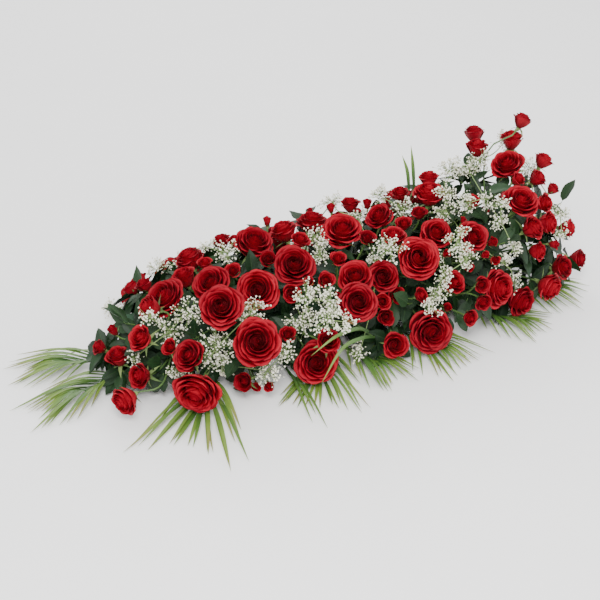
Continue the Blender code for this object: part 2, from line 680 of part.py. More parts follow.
def build_rose_bunches(collection, finishes, room):
    bunches = {}
    for index, ball in enumerate(room.balls):
        if ball.kind == "bloom":
            bunches.setdefault(bunch_of(ball), []).append(index)
    stems = {}
    for (row, column), members in sorted(bunches.items()):
        name = f"roses_{row}_{column + 1}"
        middle = sum((room.balls[i].base() for i in members), Vector()) / len(members)
        x = foam_share(MOUND_TAIL + (column + 0.5) * (MOUND_HEAD - MOUND_TAIL) / ROSE_COLUMNS)
        foot, mouth, way = foam_stem(room, x, middle, STEM_RADIUS, name, (0.0, 0.008, -0.008, 0.014, -0.014))
        length = max((middle - mouth).length * FORK_AT, FREE_STEM)
        room.add_bars((foot, mouth + way * length), STEM_RADIUS, name)
        stems[name] = (foot, mouth, way, length)
    for (row, column), members in sorted(bunches.items()):
        name = f"roses_{row}_{column + 1}"
        foot, mouth, way, length = stems[name]
        members.sort(key=lambda i: (room.balls[i].base() - mouth).dot(way))
        pieces = []
        for turn, i in enumerate(members):
            bloom = room.balls[i]
            share = FIRST_BRANCH_AT + (1 - FIRST_BRANCH_AT) * (turn + 1) / len(members)
            fork = mouth + way * (length * share)
            path = branch_to(room, fork, bloom, name, i)
            room.add_bars(path, BRANCH_RADIUS, name)
            pieces.append((bloom_solid(bloom, BLOOM_SPIN * (turn + 1), path), finishes["petal"], finishes["leaf"]))
        pieces.append((bar((foot, mouth + way * (length + PAST_FORK)), (STEM_RADIUS,) * 2), finishes["leaf"]))
        fused(name, collection, pieces)


def branch_to(room, fork, bloom, name, index):
    """A branch to a bloom's base, with a neck behind the bloom where it would come in from the side."""
    base = bloom.base()
    if (base - fork).normalized().dot(bloom.axis) > NECK_BELOW:
        return room.route(fork, base, BRANCH_RADIUS, name, (index,))[0]
    neck = base - bloom.axis * NECK_LENGTH
    path, _ = room.route(fork, neck, BRANCH_RADIUS, name, (index,))
    return (*path, base)


# Palm fronds


def build_fronds(collection, finishes, room):
    for name, start, tip, pairs, longest, width, first, last in FRONDS:
        start = Vector((*start, RIB_LEVEL + 0.004))
        tip = Vector((*tip, RIB_LEVEL))
        heading = math.atan2(tip.y - start.y, tip.x - start.x)
        aim = Vector((start.x, start.y, FROND_AIM))
        foot, mouth, way = foam_stem(room, foam_share(start.x, 0.9), aim, BRANCH_RADIUS, name,
                                     (0.0, 0.01, -0.01, 0.02, -0.02))
        stalk = (foot, mouth + way * FREE_STEM, start.lerp(tip, 0.06))
        room.add_bars((*stalk[:2], start, tip), BRANCH_RADIUS, name)
        leaflets = {}
        for i in range(pairs + 1):
            share = (i + 0.4) / (pairs + 0.4)
            angle = math.radians(first + (last - first) * share)
            length = longest * (0.62 + 0.38 * math.sin(math.pi * min(share * 1.2, 1.0)))
            for side in ((-1, 1) if i < pairs else (0,)):
                base = rib_edge(start, tip, i, pairs, side)
                leaflets[i, side] = fitting_leaflet(room, name, base, heading + side * angle, length, width)
        blade_mesh = frond_blade(start, tip, pairs, leaflets)
        room.trees.append(BVHTree.FromBMesh(blade_mesh))
        pieces = [(blade_mesh, finishes["palm"]), (bar(stalk, (BRANCH_RADIUS,) * 3), finishes["palm"])]
        fused(name, collection, pieces)


def rib_edge(start, tip, i, pairs, side):
    """The two points of the rib that a leaflet grows from: one side of it, or its end."""
    across = (tip - start).cross(Vector((0, 0, 1))).normalized() * RIB_HALF_WIDTH
    near, far = start.lerp(tip, i / pairs), start.lerp(tip, min((i + 1) / pairs, 1.0))
    if side == 0:
        return near + across, near - across
    return (near + across, far + across) if side < 0 else (far - across, near - across)


def fitting_leaflet(room, name, base, turn, length, width):
    """The middle and the tip of the leaflet with the highest arch that is clear of what is there."""
    way = Vector((math.cos(turn), math.sin(turn), 0))
    half = way.cross(Vector((0, 0, 1))) * (width / 2)
    root = (base[0] + base[1]) / 2
    for lift in LIFTS:
        middle = root + way * (length * 0.38) + Vector((0, 0, lift))
        end = root + way * length
        end.z = TIP_LEVEL
        points = (middle + half, middle - half, end)
        beyond = root.lerp(middle, 0.2)
        bm = bmesh.new()
        add_leaflet(bm, [bm.verts.new(p) for p in base], points)
        bmesh.ops.solidify(bm, geom=bm.faces[:], thickness=2 * FROND_THICKNESS)
        tree = BVHTree.FromBMesh(bm)
        bm.free()
        crossing = any(tree.overlap(other) for other in room.trees)
        if room.space((beyond, middle, end), FROND_THICKNESS, name) > -0.001 and not crossing:
            return points
    return None


def add_leaflet(bm, base, points):
    left, right, end = [bm.verts.new(p) for p in points]
    bm.faces.new((base[0], left, right))
    bm.faces.new((base[0], right, base[1]))
    bm.faces.new((left, end, right))


def frond_blade(start, tip, pairs, leaflets):
    """The rib and all its leaflets as one thin arched blade."""
    bm = bmesh.new()
    edges = {side: [bm.verts.new(rib_edge(start, tip, min(i, pairs - 1), pairs, side)[(i == pairs) ^ (side > 0)])
                    for i in range(pairs + 1)] for side in (-1, 1)}
    for i in range(pairs):
        right, left = edges[-1][i:i + 2], edges[1][i:i + 2]
        bm.faces.new((right[0], right[1], left[1]))
        bm.faces.new((right[0], left[1], left[0]))
        if leaflets[i, -1]:
            add_leaflet(bm, right, leaflets[i, -1])
        if leaflets[i, 1]:
            add_leaflet(bm, left[::-1], leaflets[i, 1])
    if leaflets[pairs, 0]:
        add_leaflet(bm, (edges[-1][-1], edges[1][-1]), leaflets[pairs, 0])
    bmesh.ops.recalc_face_normals(bm, faces=bm.faces)
    bmesh.ops.solidify(bm, geom=bm.faces[:], thickness=FROND_THICKNESS)
    bmesh.ops.recalc_face_normals(bm, faces=bm.faces)
    return bm


# Gypsophila


def tree_of_twigs(room, owner, root, targets, radius):
    """Joins the targets to the root and to each other by the shortest clear twigs."""
    joined, paths, waiting = [(root, None)], [], list(targets)
    while waiting:
        options = sorted(
            ((place - room.balls[i].place).length, k, i)
            for k, (place, _) in enumerate(joined) for i in waiting
        )
        for _, k, i in options:
            skip = [i] + ([joined[k][1]] if joined[k][1] is not None else [])
            path, space = room.route(joined[k][0], room.balls[i].place, radius, owner, skip)
            if space > 0:
                room.add_bars(path, radius, owner)
                paths.append((path, i))
                joined.append((room.balls[i].place, i))
                waiting.remove(i)
                break
        else:
            break
    return paths


def build_gypsophila(collection, finishes, room):
    draw = random.Random(BACK_SEED)
    for number, (low, high) in enumerate(zip(GYP_EDGES, GYP_EDGES[1:])):
        name = f"gypsophila_{number + 1}"
        members = [i for i, b in enumerate(room.balls) if b.kind == "cloud" and low <= b.place.x < high]
        middle = sum((room.balls[i].place for i in members), Vector()) / len(members)
        x = foam_share((low + high) / 2)
        foot, mouth, way = foam_stem(room, x, middle, BRANCH_RADIUS, name,
                                     [step * 0.006 * sign for step in range(8) for sign in (1, -1)])
        fork = mouth + way * FREE_STEM
        room.add_bars((foot, fork), BRANCH_RADIUS, name)
        pieces = []
        for path, i in tree_of_twigs(room, name, fork, members, TWIG_RADIUS):
            pieces.append((cloud_solid(room.balls[i], draw), finishes["gypsophila"]))
            pieces.append((bar(path, (TWIG_RADIUS,) * len(path)), finishes["palm"]))
        pieces.append((bar((foot, fork + way * 0.001), (BRANCH_RADIUS,) * 2), finishes["palm"]))
        fused(name, collection, pieces)


# Foliage and grass


def build_leafy_stems(collection, finishes, room):
    draw = random.Random(LEAF_SEED)
    for number, (x, y) in enumerate(LEAFY_STEMS):
        name = f"foliage_{number + 1}"
        spot = seen_on_mound(x, y)
        foot, mouth, way = foam_stem(room, foam_share(spot.x), spot, BRANCH_RADIUS, name,
                                     [step * 0.005 * sign for step in range(12) for sign in (1, -1)])
        path = leafy_path(room, name, mouth + way * FREE_STEM, x, y, draw)
        room.add_bars((foot, *path), BRANCH_RADIUS, name)
        whole = (foot, *path)
        pieces = [(bar(whole, (BRANCH_RADIUS,) * (len(whole) - 1) + (TWIG_RADIUS,)), finishes["leaf"])]
        for share in LEAVES_AT:
            leaf = fitting_leaf(room, name, path, share, draw)
            if leaf:
                pieces.append((leaf, finishes["leaf"]))
        fused(name, collection, pieces)


def leafy_path(room, name, fork, x, y, draw):
    """The clearest of some trial paths to just below the mound, near a pixel."""
    path, most = None, -1.0
    for _ in range(LEAFY_TRIALS):
        aside = draw.uniform(-LEAFY_STRAY, LEAFY_STRAY)
        down = draw.uniform(-LEAFY_STRAY, LEAFY_STRAY)
        end = seen_on_mound(x + aside, y + down)
        end -= mound_normal(end) * draw.uniform(*LEAFY_DEPTHS)
        trial, space = room.route(fork, end, BRANCH_RADIUS, name)
        if space > most:
            path, most = trial, space
        if space > 0:
            break
    return path


def point_along(path, share):
    """The point this share of the way along a path, and the way the path runs there."""
    lengths = [(b - a).length for a, b in zip(path, path[1:])]
    left = share * sum(lengths)
    for a, b, length in zip(path, path[1:], lengths):
        if left <= length or b is path[-1]:
            return a.lerp(b, min(left / length, 1.0)), (b - a).normalized()
        left -= length


def fitting_leaf(room, name, path, share, draw):
    """A leaf on a stem, turned to the first side that is clear."""
    root, along = point_along(path, share)
    aside = along.cross(Vector((0, 0, 1))).normalized()
    over = aside.cross(along).normalized()
    first = draw.uniform(0, 2 * math.pi)
    for size in LEAF_SIZES:
        for turn in range(10):
            angle = first + turn * 2.4
            out = aside * math.cos(angle) + over * math.sin(angle)
            way = (along * (1.6 if share == 1.0 else 0.7) + out).normalized()
            flat = (along - way * along.dot(way) * 0.98).normalized() if share < 1.0 else over
            side = way.cross(flat).normalized()
            length, half = LEAF_LENGTH * size, LEAF_WIDTH * size / 2
            tip = root + way * length
            shape = [root - way * 0.001] + [root.lerp(tip, share) for share in LEAF_RINGS] + [tip]
            widths = [half * 2 * share for share in (LEAF_ROOT, *LEAF_WIDTHS)] + [0]
            lines = []
            for across in (-0.5, -0.25, 0.0, 0.25, 0.5):
                line = [place + side * (wide * across) for place, wide in zip(shape[1:-1], widths[1:-1])]
                lines += [root.lerp(line[0], 0.25), *line, tip]
            if room.space(lines, 0.0022, name) < 0:
                continue
            leaf = blade(shape, widths, flat, 0.003)
            tree = BVHTree.FromBMesh(leaf)
            if any(tree.overlap(other) for other in room.trees):
                leaf.free()
                continue
            room.add_bars((root, *shape[1:-1], tip), half * 0.5, name)
            room.trees.append(tree)
            return leaf
    return None


def seen_at_depth(x, y, forward):
    """The point of a line of sight this far in front of the spray's middle."""
    line = sight_line(x, y)
    return VIEWER + line * ((-forward - VIEWER.y) / line.y)


def clear_line(room, name, points):
    """The places of a blade's points, as little in front of what it was read at as leaves it clear."""
    for step in range(30):
        line = [seen_at_depth(x, y, forward + 0.004 * step) for x, y, forward in points]
        if room.space(line, GRASS_WIDTH / 2, name) > 0:
            break
    return line


def build_grass(name, blades, collection, finishes, room):
    """Blades of grass from one root, each through the points that the photograph shows it at."""
    lines = [clear_line(room, name, points) for points in blades]
    heart = foam_share(lines[0][0].x)
    foot, mouth, way = foam_stem(room, heart, lines[0][0], BRANCH_RADIUS, name,
                                 [step * 0.005 * sign for step in range(12) for sign in (1, -1)])
    fork = mouth + way * FREE_STEM
    room.add_bars((foot, fork), BRANCH_RADIUS, name)
    pieces = [(bar((foot, fork + way * 0.001), (BRANCH_RADIUS,) * 2), finishes["palm"])]
    for line in lines:
        path, _ = room.route(fork, line[0], TWIG_RADIUS, name)
        room.add_bars((*path, *line[1:]), TWIG_RADIUS, name)
        pieces.append((bar((*path[:-1], line[0] + (line[1] - line[0]) * 0.05), (TWIG_RADIUS,) * len(path)),
                       finishes["palm"]))
        widths = [GRASS_WIDTH * 0.6] + [GRASS_WIDTH] * (len(line) - 2) + [0]
        pieces.append((blade(line, widths, BACK), finishes["palm"]))
    fused(name, collection, pieces)


main()
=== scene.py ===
"""The looks of the casket spray: every rose, floret, frond and leaf of its solids, made fine.

Each piece stands where its solid does, because its place follows from the same numbers: the pixels at
which the photograph shows the blooms, and the mound that they stand on. All lengths are in metres.
"""

import math
import random

import bmesh
import bpy
import numpy as np
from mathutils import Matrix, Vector
from mathutils.bvhtree import BVHTree


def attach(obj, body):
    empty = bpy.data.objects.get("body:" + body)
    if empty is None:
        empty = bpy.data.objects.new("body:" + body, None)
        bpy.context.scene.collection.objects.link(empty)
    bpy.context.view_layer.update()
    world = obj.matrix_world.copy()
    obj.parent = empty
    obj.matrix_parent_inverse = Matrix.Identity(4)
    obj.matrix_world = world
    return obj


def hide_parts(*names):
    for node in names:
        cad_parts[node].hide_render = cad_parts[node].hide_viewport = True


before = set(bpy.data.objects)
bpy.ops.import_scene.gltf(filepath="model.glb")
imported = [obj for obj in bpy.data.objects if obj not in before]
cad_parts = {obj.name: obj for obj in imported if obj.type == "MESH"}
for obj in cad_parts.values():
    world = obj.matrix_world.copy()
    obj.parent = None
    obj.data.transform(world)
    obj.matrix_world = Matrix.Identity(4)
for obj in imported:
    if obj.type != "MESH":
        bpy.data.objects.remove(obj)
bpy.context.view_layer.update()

# Tray and foam: three bricks of floral foam end to end
TRAY_WALL = 0.0024
FOAM_LENGTH = 0.690
FOAM_WIDTH = 0.110
FOAM_HEIGHT = 0.080
GAP = 0.0003
FOAM_TOP = TRAY_WALL + GAP + FOAM_HEIGHT

# The mound through the middles of the blooms
MOUND_TAIL = -0.470
MOUND_HEAD = 0.600
MOUND_HALF_WIDTH = 0.225
MOUND_HEIGHT_TAIL = 0.215
MOUND_RISE_TO_HEAD = 0.200
MOUND_RISE_FROM = -0.100
MOUND_END_POWER = 3.0
MOUND_SIDE_POWER = 2.2

# How the photograph was taken: its pixels give the places of what it shows
VIEW_TURN = math.radians(25)
VIEW_ELEVATION = math.radians(30)
VIEW_DISTANCE = 3.2
VIEW_SCALE = 505.0
VIEW_MIDDLE = (300.0, 300.0)
VIEW_TARGET = Vector((0.0, 0.0, 0.06))
SIGHT_MARGIN = 0.8
SIGHT_STEP = 0.004
HIDDEN_DEPTH = 0.04
ABOVE = Vector((0, 0, 1))

# Stems, and the holes that they stand in
STEM_RADIUS = 0.0028
BRANCH_RADIUS = 0.0020
TWIG_RADIUS = 0.0013
HOLE_DEPTH = 0.026
HEART_DEPTH = 0.030
FREE_STEM = 0.012
FOAM_END = 0.030
CLEARANCE = 0.0008
TABLE_GAP = 0.002
BENDS = (0.0, 0.008, 0.016, 0.026, 0.038)
BEND_SHARES = (0.5, 0.75, 0.3)
BAR_STEP = 0.002

# How the balls around the blooms and clouds are slid apart
SETTLE_TURNS = 600
SETTLE_PUSH = 0.30
HOMING_SHARE = 0.7
HOMING = 0.04
GROUND_GAP = 0.012

# Blooms in the photograph: pixel x, y, diameter in millimetres, the clock hour that the bloom faces, and
# how far it turns that way from facing the viewer, in degrees
TAIL_BLOOMS = (
    (99, 347, 34, 10, 75), (118, 356, 52, 12, 75), (113, 330, 30, 11, 70), (141, 338, 54, 10, 45),
    (140, 376, 54, 9, 55), (125, 401, 58, 8, 65), (189, 356, 60, 10, 42), (170, 347, 36, 10, 40),
    (165, 298, 76, 10, 40), (149, 308, 54, 9, 72), (184, 277, 56, 11, 58), (189, 258, 58, 11, 70),
    (211, 284, 72, 10, 28), (221, 307, 80, 11, 8), (233, 271, 36, 12, 20), (221, 241, 44, 11, 72),
    (236, 241, 40, 12, 72), (205, 263, 34, 12, 50), (197, 392, 86, 7, 48), (244, 382, 42, 9, 40),
)
MIDDLE_BLOOMS = (
    (258, 290, 78, 7, 12), (254, 243, 76, 1, 35), (268, 259, 40, 12, 15), (283, 231, 58, 11, 72),
    (267, 221, 28, 12, 78), (300, 240, 42, 1, 50), (294, 265, 78, 12, 5), (292, 293, 40, 6, 20),
    (326, 280, 38, 1, 20), (309, 282, 28, 12, 20), (338, 259, 38, 12, 40), (342, 231, 80, 12, 30),
    (312, 222, 62, 12, 72), (310, 211, 20, 12, 75), (331, 208, 28, 12, 70), (350, 204, 44, 12, 72),
    (367, 204, 30, 12, 60), (379, 217, 58, 10, 42), (367, 238, 38, 1, 30), (393, 237, 56, 12, 58),
    (404, 224, 38, 12, 40), (419, 213, 36, 12, 55), (436, 233, 64, 1, 28), (418, 258, 82, 1, 8),
    (400, 193, 40, 12, 60), (429, 193, 64, 12, 62), (429, 178, 46, 12, 72), (355, 277, 66, 11, 28),
    (383, 277, 62, 12, 5), (358, 302, 72, 12, 5), (383, 302, 36, 6, 5), (397, 295, 38, 3, 10),
    (386, 317, 38, 6, 12), (421, 295, 34, 2, 58), (447, 308, 26, 12, 50), (431, 331, 84, 5, 14),
    (395, 345, 56, 12, 5), (316, 363, 80, 11, 12), (328, 341, 50, 12, 22), (288, 334, 36, 12, 35),
    (257, 342, 86, 12, 5), (337, 295, 18, 12, 40), (256, 386, 28, 6, 30), (269, 386, 30, 5, 20),
)
HEAD_BLOOMS = (
    (453, 283, 56, 2, 42), (473, 237, 62, 2, 24), (473, 201, 36, 1, 60), (463, 220, 18, 1, 68),
    (492, 242, 30, 2, 58), (485, 255, 24, 2, 50), (495, 260, 30, 5, 30), (482, 285, 38, 5, 20),
    (483, 302, 40, 5, 42), (498, 288, 74, 3, 52), (521, 301, 66, 4, 58), (470, 318, 38, 4, 38),
    (550, 287, 60, 4, 68), (562, 267, 56, 2, 45), (578, 259, 50, 3, 58), (538, 251, 46, 3, 68),
    (554, 244, 30, 3, 72), (568, 228, 48, 3, 78), (548, 223, 56, 3, 62), (533, 228, 56, 2, 58),
    (544, 203, 48, 3, 58), (521, 201, 70, 12, 34), (553, 188, 34, 1, 78), (538, 178, 44, 2, 64),
    (544, 160, 46, 1, 78), (518, 179, 36, 2, 58), (507, 165, 68, 10, 38), (512, 139, 56, 12, 58),
    (522, 120, 44, 1, 92), (474, 133, 52, 12, 78), (477, 147, 54, 12, 62), (446, 254, 24, 2, 40),
    (469, 267, 28, 5, 30),
)

# Blooms and clouds on the side that the photograph doesn't show
BACK_SEED = 7
BACK_DIAMETERS = (0.078, 0.060, 0.040, 0.074, 0.052, 0.040)
BACK_CLOUD_DIAMETER = 0.040
BACK_SPOTS = ((30, 0.80), (44, 0.82), (58, 0.90), (74, 1.0), (86, 1.0))
BACK_SPACING = 0.026
BACK_FROM_END = 0.03
BACK_BLOOMS = 21
BACK_CLOUDS = 6

# Bunches of roses: the mound is shared out by how far round from the top a bloom is, and along the length
ROW_EDGES = (("low_front", -180, -62), ("front", -62, -22), ("top", -22, 26), ("back", 26, 180))
ROSE_COLUMNS = 7
FORK_AT = 0.44
FIRST_BRANCH_AT = 0.45
PAST_FORK = 0.0026
NECK_BELOW = 0.55
NECK_LENGTH = 0.012
ROSE_SHIFTS = (0.0, 0.008, -0.008, 0.014, -0.014)

# A bloom, as shares of its diameter: where its stem meets it below its middle, and how far it reaches
BLOOM_BASE = -0.42
BLOOM_REACH = 0.545

# Gypsophila clouds in the photograph: pixel x, y and radius in millimetres
CLOUDS = (
    (188, 312, 28), (170, 331, 24), (216, 348, 36), (222, 366, 24), (181, 369, 20), (134, 358, 12),
    (150, 318, 14), (252, 312, 30), (267, 371, 26), (227, 253, 18), (207, 247, 14), (315, 238, 20),
    (320, 254, 20), (306, 298, 28), (330, 302, 26), (302, 321, 28), (327, 320, 26), (346, 322, 16),
    (286, 350, 16), (358, 217, 24), (333, 202, 18), (380, 196, 18), (404, 209, 22), (390, 249, 26),
    (376, 262, 14), (448, 172, 24), (445, 192, 18), (446, 211, 24), (458, 240, 24), (475, 244, 14),
    (467, 260, 18), (437, 258, 12), (444, 275, 18), (436, 292, 24), (431, 308, 16), (466, 166, 24),
    (480, 160, 20), (506, 140, 20), (530, 168, 20), (468, 203, 18), (487, 202, 14), (501, 205, 14),
    (501, 221, 16), (503, 263, 14), (514, 249, 14), (512, 282, 16), (560, 216, 22), (562, 233, 14),
    (360, 352, 12),
)
CLOUD_REACH = 0.80
GYP_EDGES = (-0.50, -0.26, -0.12, 0.02, 0.15, 0.28, 0.41, 0.70)
GYP_SHIFTS = [step * 0.006 * sign for step in range(8) for sign in (1, -1)]

# Palm fronds: where the rib comes down to the table and where it ends, pairs of leaflets, longest
# leaflet, its width, and the angles of the first and the last leaflets to the rib
FRONDS = (
    ("frond_tail_upper", (-0.388, 0.028), (-0.460, 0.042), 5, 0.178, 0.012, 26, 4),
    ("frond_tail_lower", (-0.392, -0.034), (-0.464, -0.056), 5, 0.182, 0.012, 26, 4),
    ("frond_front_tail", (-0.235, -0.110), (-0.285, -0.190), 5, 0.240, 0.012, 32, 6),
    ("frond_front_blades", (-0.094, -0.116), (-0.099, -0.166), 1, 0.215, 0.011, 8, 3),
    ("frond_front_fan", (-0.012, -0.120), (-0.048, -0.195), 5, 0.168, 0.010, 42, 8),
    ("frond_front_middle", (0.035, -0.115), (0.060, -0.190), 5, 0.140, 0.010, 32, 6),
    ("frond_front_right", (0.165, -0.115), (0.195, -0.205), 5, 0.145, 0.010, 46, 8),
    ("frond_front_head", (0.325, -0.100), (0.395, -0.175), 5, 0.125, 0.010, 46, 10),
    ("frond_head", (0.420, -0.030), (0.510, -0.100), 5, 0.145, 0.010, 44, 8),
    ("frond_back_head", (0.395, 0.045), (0.480, 0.135), 5, 0.150, 0.011, 42, 8),
    ("frond_back_middle", (0.100, 0.115), (0.150, 0.210), 5, 0.150, 0.012, 42, 8),
    ("frond_back_tail", (-0.120, 0.115), (-0.160, 0.205), 5, 0.150, 0.012, 40, 8),
)
RIB_LEVEL = 0.0075
TIP_LEVEL = 0.0035
RIB_HALF_WIDTH = 0.0020
FROND_THICKNESS = 0.0010
LIFTS = (0.014, 0.009, 0.005, 0.002, 0.0, -0.002)
FROND_AIM = 0.035
FROND_SHIFTS = (0.0, 0.01, -0.01, 0.02, -0.02)
CROWN_AT = 0.38

# Foliage between the blooms: the pixel at which each leafy stem ends, and how far a trial may stray from
# it in pixels and below the mound in metres
LEAFY_STEMS = ((127, 327), (198, 338), (236, 362), (411, 303), (481, 184), (514, 240), (568, 200))
THIN_SHIFTS = [step * 0.005 * sign for step in range(12) for sign in (1, -1)]
LEAFY_STRAY = 7.0
LEAFY_DEPTHS = (0.0, 0.022)
LEAFY_TRIALS = 60
LEAF_SEED = 4
LEAF_LENGTH = 0.052
LEAF_WIDTH = 0.027
LEAF_SIZES = (1.1, 0.9, 0.7)
LEAVES_AT = (1.0, 0.88, 0.76, 0.64, 0.52, 0.40)
LEAF_ROOT = 0.16
LEAF_RINGS = (0.38, 0.72)
LEAF_WIDTHS = (1.0, 0.76)

# Blades of grass: pixel x, y and distance in front of the middle of the spray, from root to tip
GRASS = {
    "grass_upright": (
        ((414, 190, -0.03), (413, 168, -0.04), (411, 145, -0.05)),
        ((409, 190, -0.03), (407, 170, -0.04), (402, 155, -0.05)),
    ),
    "grass_arching": (
        ((369, 331, 0.19), (355, 329, 0.225), (335, 337, 0.245), (311, 356, 0.255)),
        ((375, 337, 0.19), (362, 338, 0.225), (345, 346, 0.245), (321, 384, 0.255)),
    ),
}
GRASS_WIDTH = 0.0075

# Fine roses. From this diameter up: a bloom's petals, and each petal's points along and across
ROSE_SIZES = ((0.072, 42, 10, 9), (0.057, 34, 9, 9), (0.041, 24, 8, 7), (0.031, 18, 8, 7), (0.0, 10, 7, 7))
# Buds, spray roses and open roses. Below this diameter: how open it is, how wide its petals reach, what
# slims it, how much its heart is raised, and how high the lips are from the heart (0) to the outside (1)
ROSE_KINDS = (
    (0.031, 0.55, 0.40, 0.80, 0.16, (0, 0.4, 1), (0.34, 0.28, 0.12)),
    (0.057, 0.85, 0.40, 1.0, 0.0, (0, 0.4, 1), (0.26, 0.22, 0.04)),
    (1.0, 1.0, 0.440, 1.0, 0.0, (0, 0.12, 0.4, 0.75, 1), (0.25, 0.26, 0.23, 0.11, -0.04)),
)
ROSE_SEED = 11
GOLDEN_TURN = 2.39996
# From the heart out, how a petal leans outwards and how many degrees its lip rolls back
PETAL_LEANS = ((0, 0.25, 0.5, 1), (-0.30, -0.10, 0.12, 0.50))
PETAL_ROLLS = ((0, 0.3, 0.7, 1), (8, 34, 80, 140))
LIP_FROM = 0.74
HEART_HEIGHTS = (-0.10, 0.05, 0.14, 0.19)
HEART_RADII = (0.050, 0.046, 0.030, 0.003)
# The hip under a bloom and its sepals, which grow no further on a bloom wider than these. A bloom under
# the last diameter holds its sepals up
HIP_HEIGHTS = (-0.13, -0.10, -0.05, 0.0, 0.05, 0.10)
HIP_RADII = (0.030, 0.060, 0.085, 0.085, 0.10, 0.13)
HIP_WIDEST = 0.060
SEPAL_WIDEST = 0.062
SMALL_FROM = 0.041
FIFTH_TURN = 1.2566

# Leaves under the blooms: how deep in the mound their layers are, and where each kind of layer is
UNDER_LAYERS = (0.44, 0.60, 0.77)
DENSE_LAYERS = (0.36, 0.52, 0.66, 0.78, 0.88)
TAIL_LAYERS = (0.22, 0.40, 0.58, 0.74)
DENSE_GROWTH = 1.15
TAIL_LEAVES_TO = -0.34
HEAD_LEAVES_FROM = 0.26
BACK_LEAVES_FROM = 38
LOW_LEAVES_TO = -66
LOW_LEAVES_FROM = -0.08
LEAF_REACH = 0.080
LEAF_TRIALS = 9
LEAF_INTO_BALL = 0.003
LEAF_OFF_FOAM = 0.001
LEAF_OFF_TABLE = 0.004
UNDER_FROM_TAIL = 0.035
UNDER_FROM_HEAD = 0.02
UNDER_SPACING = 0.034
UNDER_ANGLES = range(-100, 101, 14)

# Fine gypsophila: sprigs in a cloud of this radius, their florets, and how thick the stalks are
GYP_SEED = 20
SPRIGS_A_CLOUD = 18
SPRIG_CLOUD_RADIUS = 0.024
SPRIG_RADIUS = 0.00045
FLORETS_A_SPRIG = 6
FLORET_SPREAD = 0.0046
FLORET_RADII = (0.0013, 0.0025)
FLORET_STALK_RADIUS = 0.00028
SPRIG_OFF_BLOOM = 0.001
SPRIG_OFF_TABLE = 0.010
FLORET_INTO_BLOOM = 0.003
FLORET_OFF_TABLE = 0.006

# Fine leaflets and blades: how many for each of the solid's, and the points across one
FINE_LEAFLETS = 2
FINE_RIB_RADIUS = 0.0021
LEAFLET_POINTS = 11
BLADE_POINTS = 18
ACROSS = np.array((-1.0, -0.5, 0.0, 0.5, 1.0))
LOWEST = 0.0008

# Colours along a petal, along a palm leaflet, and from an open floret to a closed one
# Along a petal the red darkens towards the heel: painted shade deep inside the cup
PETAL_REDS_AND_HEEL_SHADE = ((0.0, (0.095, 0.0030, 0.007)), (0.45, (0.25, 0.007, 0.014)), (0.80, (0.36, 0.007, 0.019)),
              (0.95, (0.38, 0.007, 0.019)), (1.0, (0.15, 0.003, 0.009)))
PALM_GREENS = ((0.0, (0.018, 0.058, 0.010)), (0.35, (0.055, 0.130, 0.020)),
               (0.85, (0.155, 0.240, 0.038)), (1.0, (0.21, 0.22, 0.06)))
FLORET_WHITES = ((0.15, (0.82, 0.80, 0.69)), (0.55, (0.66, 0.65, 0.50)), (0.90, (0.36, 0.40, 0.21)))

# Plain surfaces: two colours, roughness, scale and depth of relief
PLAIN_FINISHES = (
    ("stem", (0.030, 0.080, 0.018), (0.100, 0.180, 0.040), 0.50, 90.0, 0.0004),
    ("twig", (0.10, 0.18, 0.05), (0.26, 0.36, 0.13), 0.60, 120.0, 0.0003),
    ("foam", (0.008, 0.030, 0.014), (0.030, 0.085, 0.040), 0.95, 420.0, 0.0012),
    ("tray", (0.010, 0.040, 0.018), (0.014, 0.052, 0.024), 0.35, 40.0, 0.0002),
    ("floor_paint", (0.93, 0.93, 0.93), (0.95, 0.95, 0.95), 0.85, 3.0, 0.0),
)

# Studio: lamp name, place, aim, size, power and colour
PICTURE_WIDTH = 600
WORLD_LIGHT = 1.45
LAMPS = (
    ("key", (-1.2, -2.4, 2.6), (0.0, 0.0, 0.15), 1.2, 135.0, (1.0, 0.99, 0.98)),
    ("fill", (2.2, -1.6, 1.6), (0.1, 0.0, 0.15), 2.0, 30.0, (1.0, 1.0, 1.0)),
    ("rim", (0.6, 2.4, 2.2), (0.0, 0.0, 0.15), 1.8, 40.0, (1.0, 1.0, 1.0)),
)


# The view and the mound


def view_axes():
    """The viewer's right, up and towards-the-viewer directions."""
    away = Vector((math.sin(VIEW_TURN), math.cos(VIEW_TURN), 0.0))
    right = Vector((math.cos(VIEW_TURN), -math.sin(VIEW_TURN), 0.0))
    up = away * math.sin(VIEW_ELEVATION) + Vector((0, 0, math.cos(VIEW_ELEVATION)))
    back = Vector((0, 0, math.sin(VIEW_ELEVATION))) - away * math.cos(VIEW_ELEVATION)
    return right, up, back


RIGHT, UP, BACK = view_axes()
VIEWER = VIEW_TARGET + BACK * VIEW_DISTANCE


def sight_line(x, y):
    """The direction from the viewer through a pixel."""
    focal = VIEW_SCALE * VIEW_DISTANCE
    line = -BACK * focal + RIGHT * (x - VIEW_MIDDLE[0]) + UP * (VIEW_MIDDLE[1] - y)
    return line.normalized()


def mound_height(x):
    rise = min(max((x - MOUND_RISE_FROM) / (MOUND_HEAD - MOUND_RISE_FROM), 0.0), 1.0)
    return MOUND_HEIGHT_TAIL + MOUND_RISE_TO_HEAD * rise * rise


def mound(point):
    """Below 0 inside the mound and above 0 outside it."""
    middle = (MOUND_HEAD + MOUND_TAIL) / 2
    along = abs(point.x - middle) / ((MOUND_HEAD - MOUND_TAIL) / 2)
    across = abs(point.y) / MOUND_HALF_WIDTH
    above = max(point.z, 0.0) / mound_height(point.x)
    return along**MOUND_END_POWER + across**MOUND_SIDE_POWER + above**MOUND_SIDE_POWER - 1.0


def mound_normal(point):
    step = 0.004
    slope = [mound(point + step * axis) - mound(point - step * axis)
             for axis in (Vector((1, 0, 0)), Vector((0, 1, 0)), Vector((0, 0, 1)))]
    return Vector(slope).normalized()


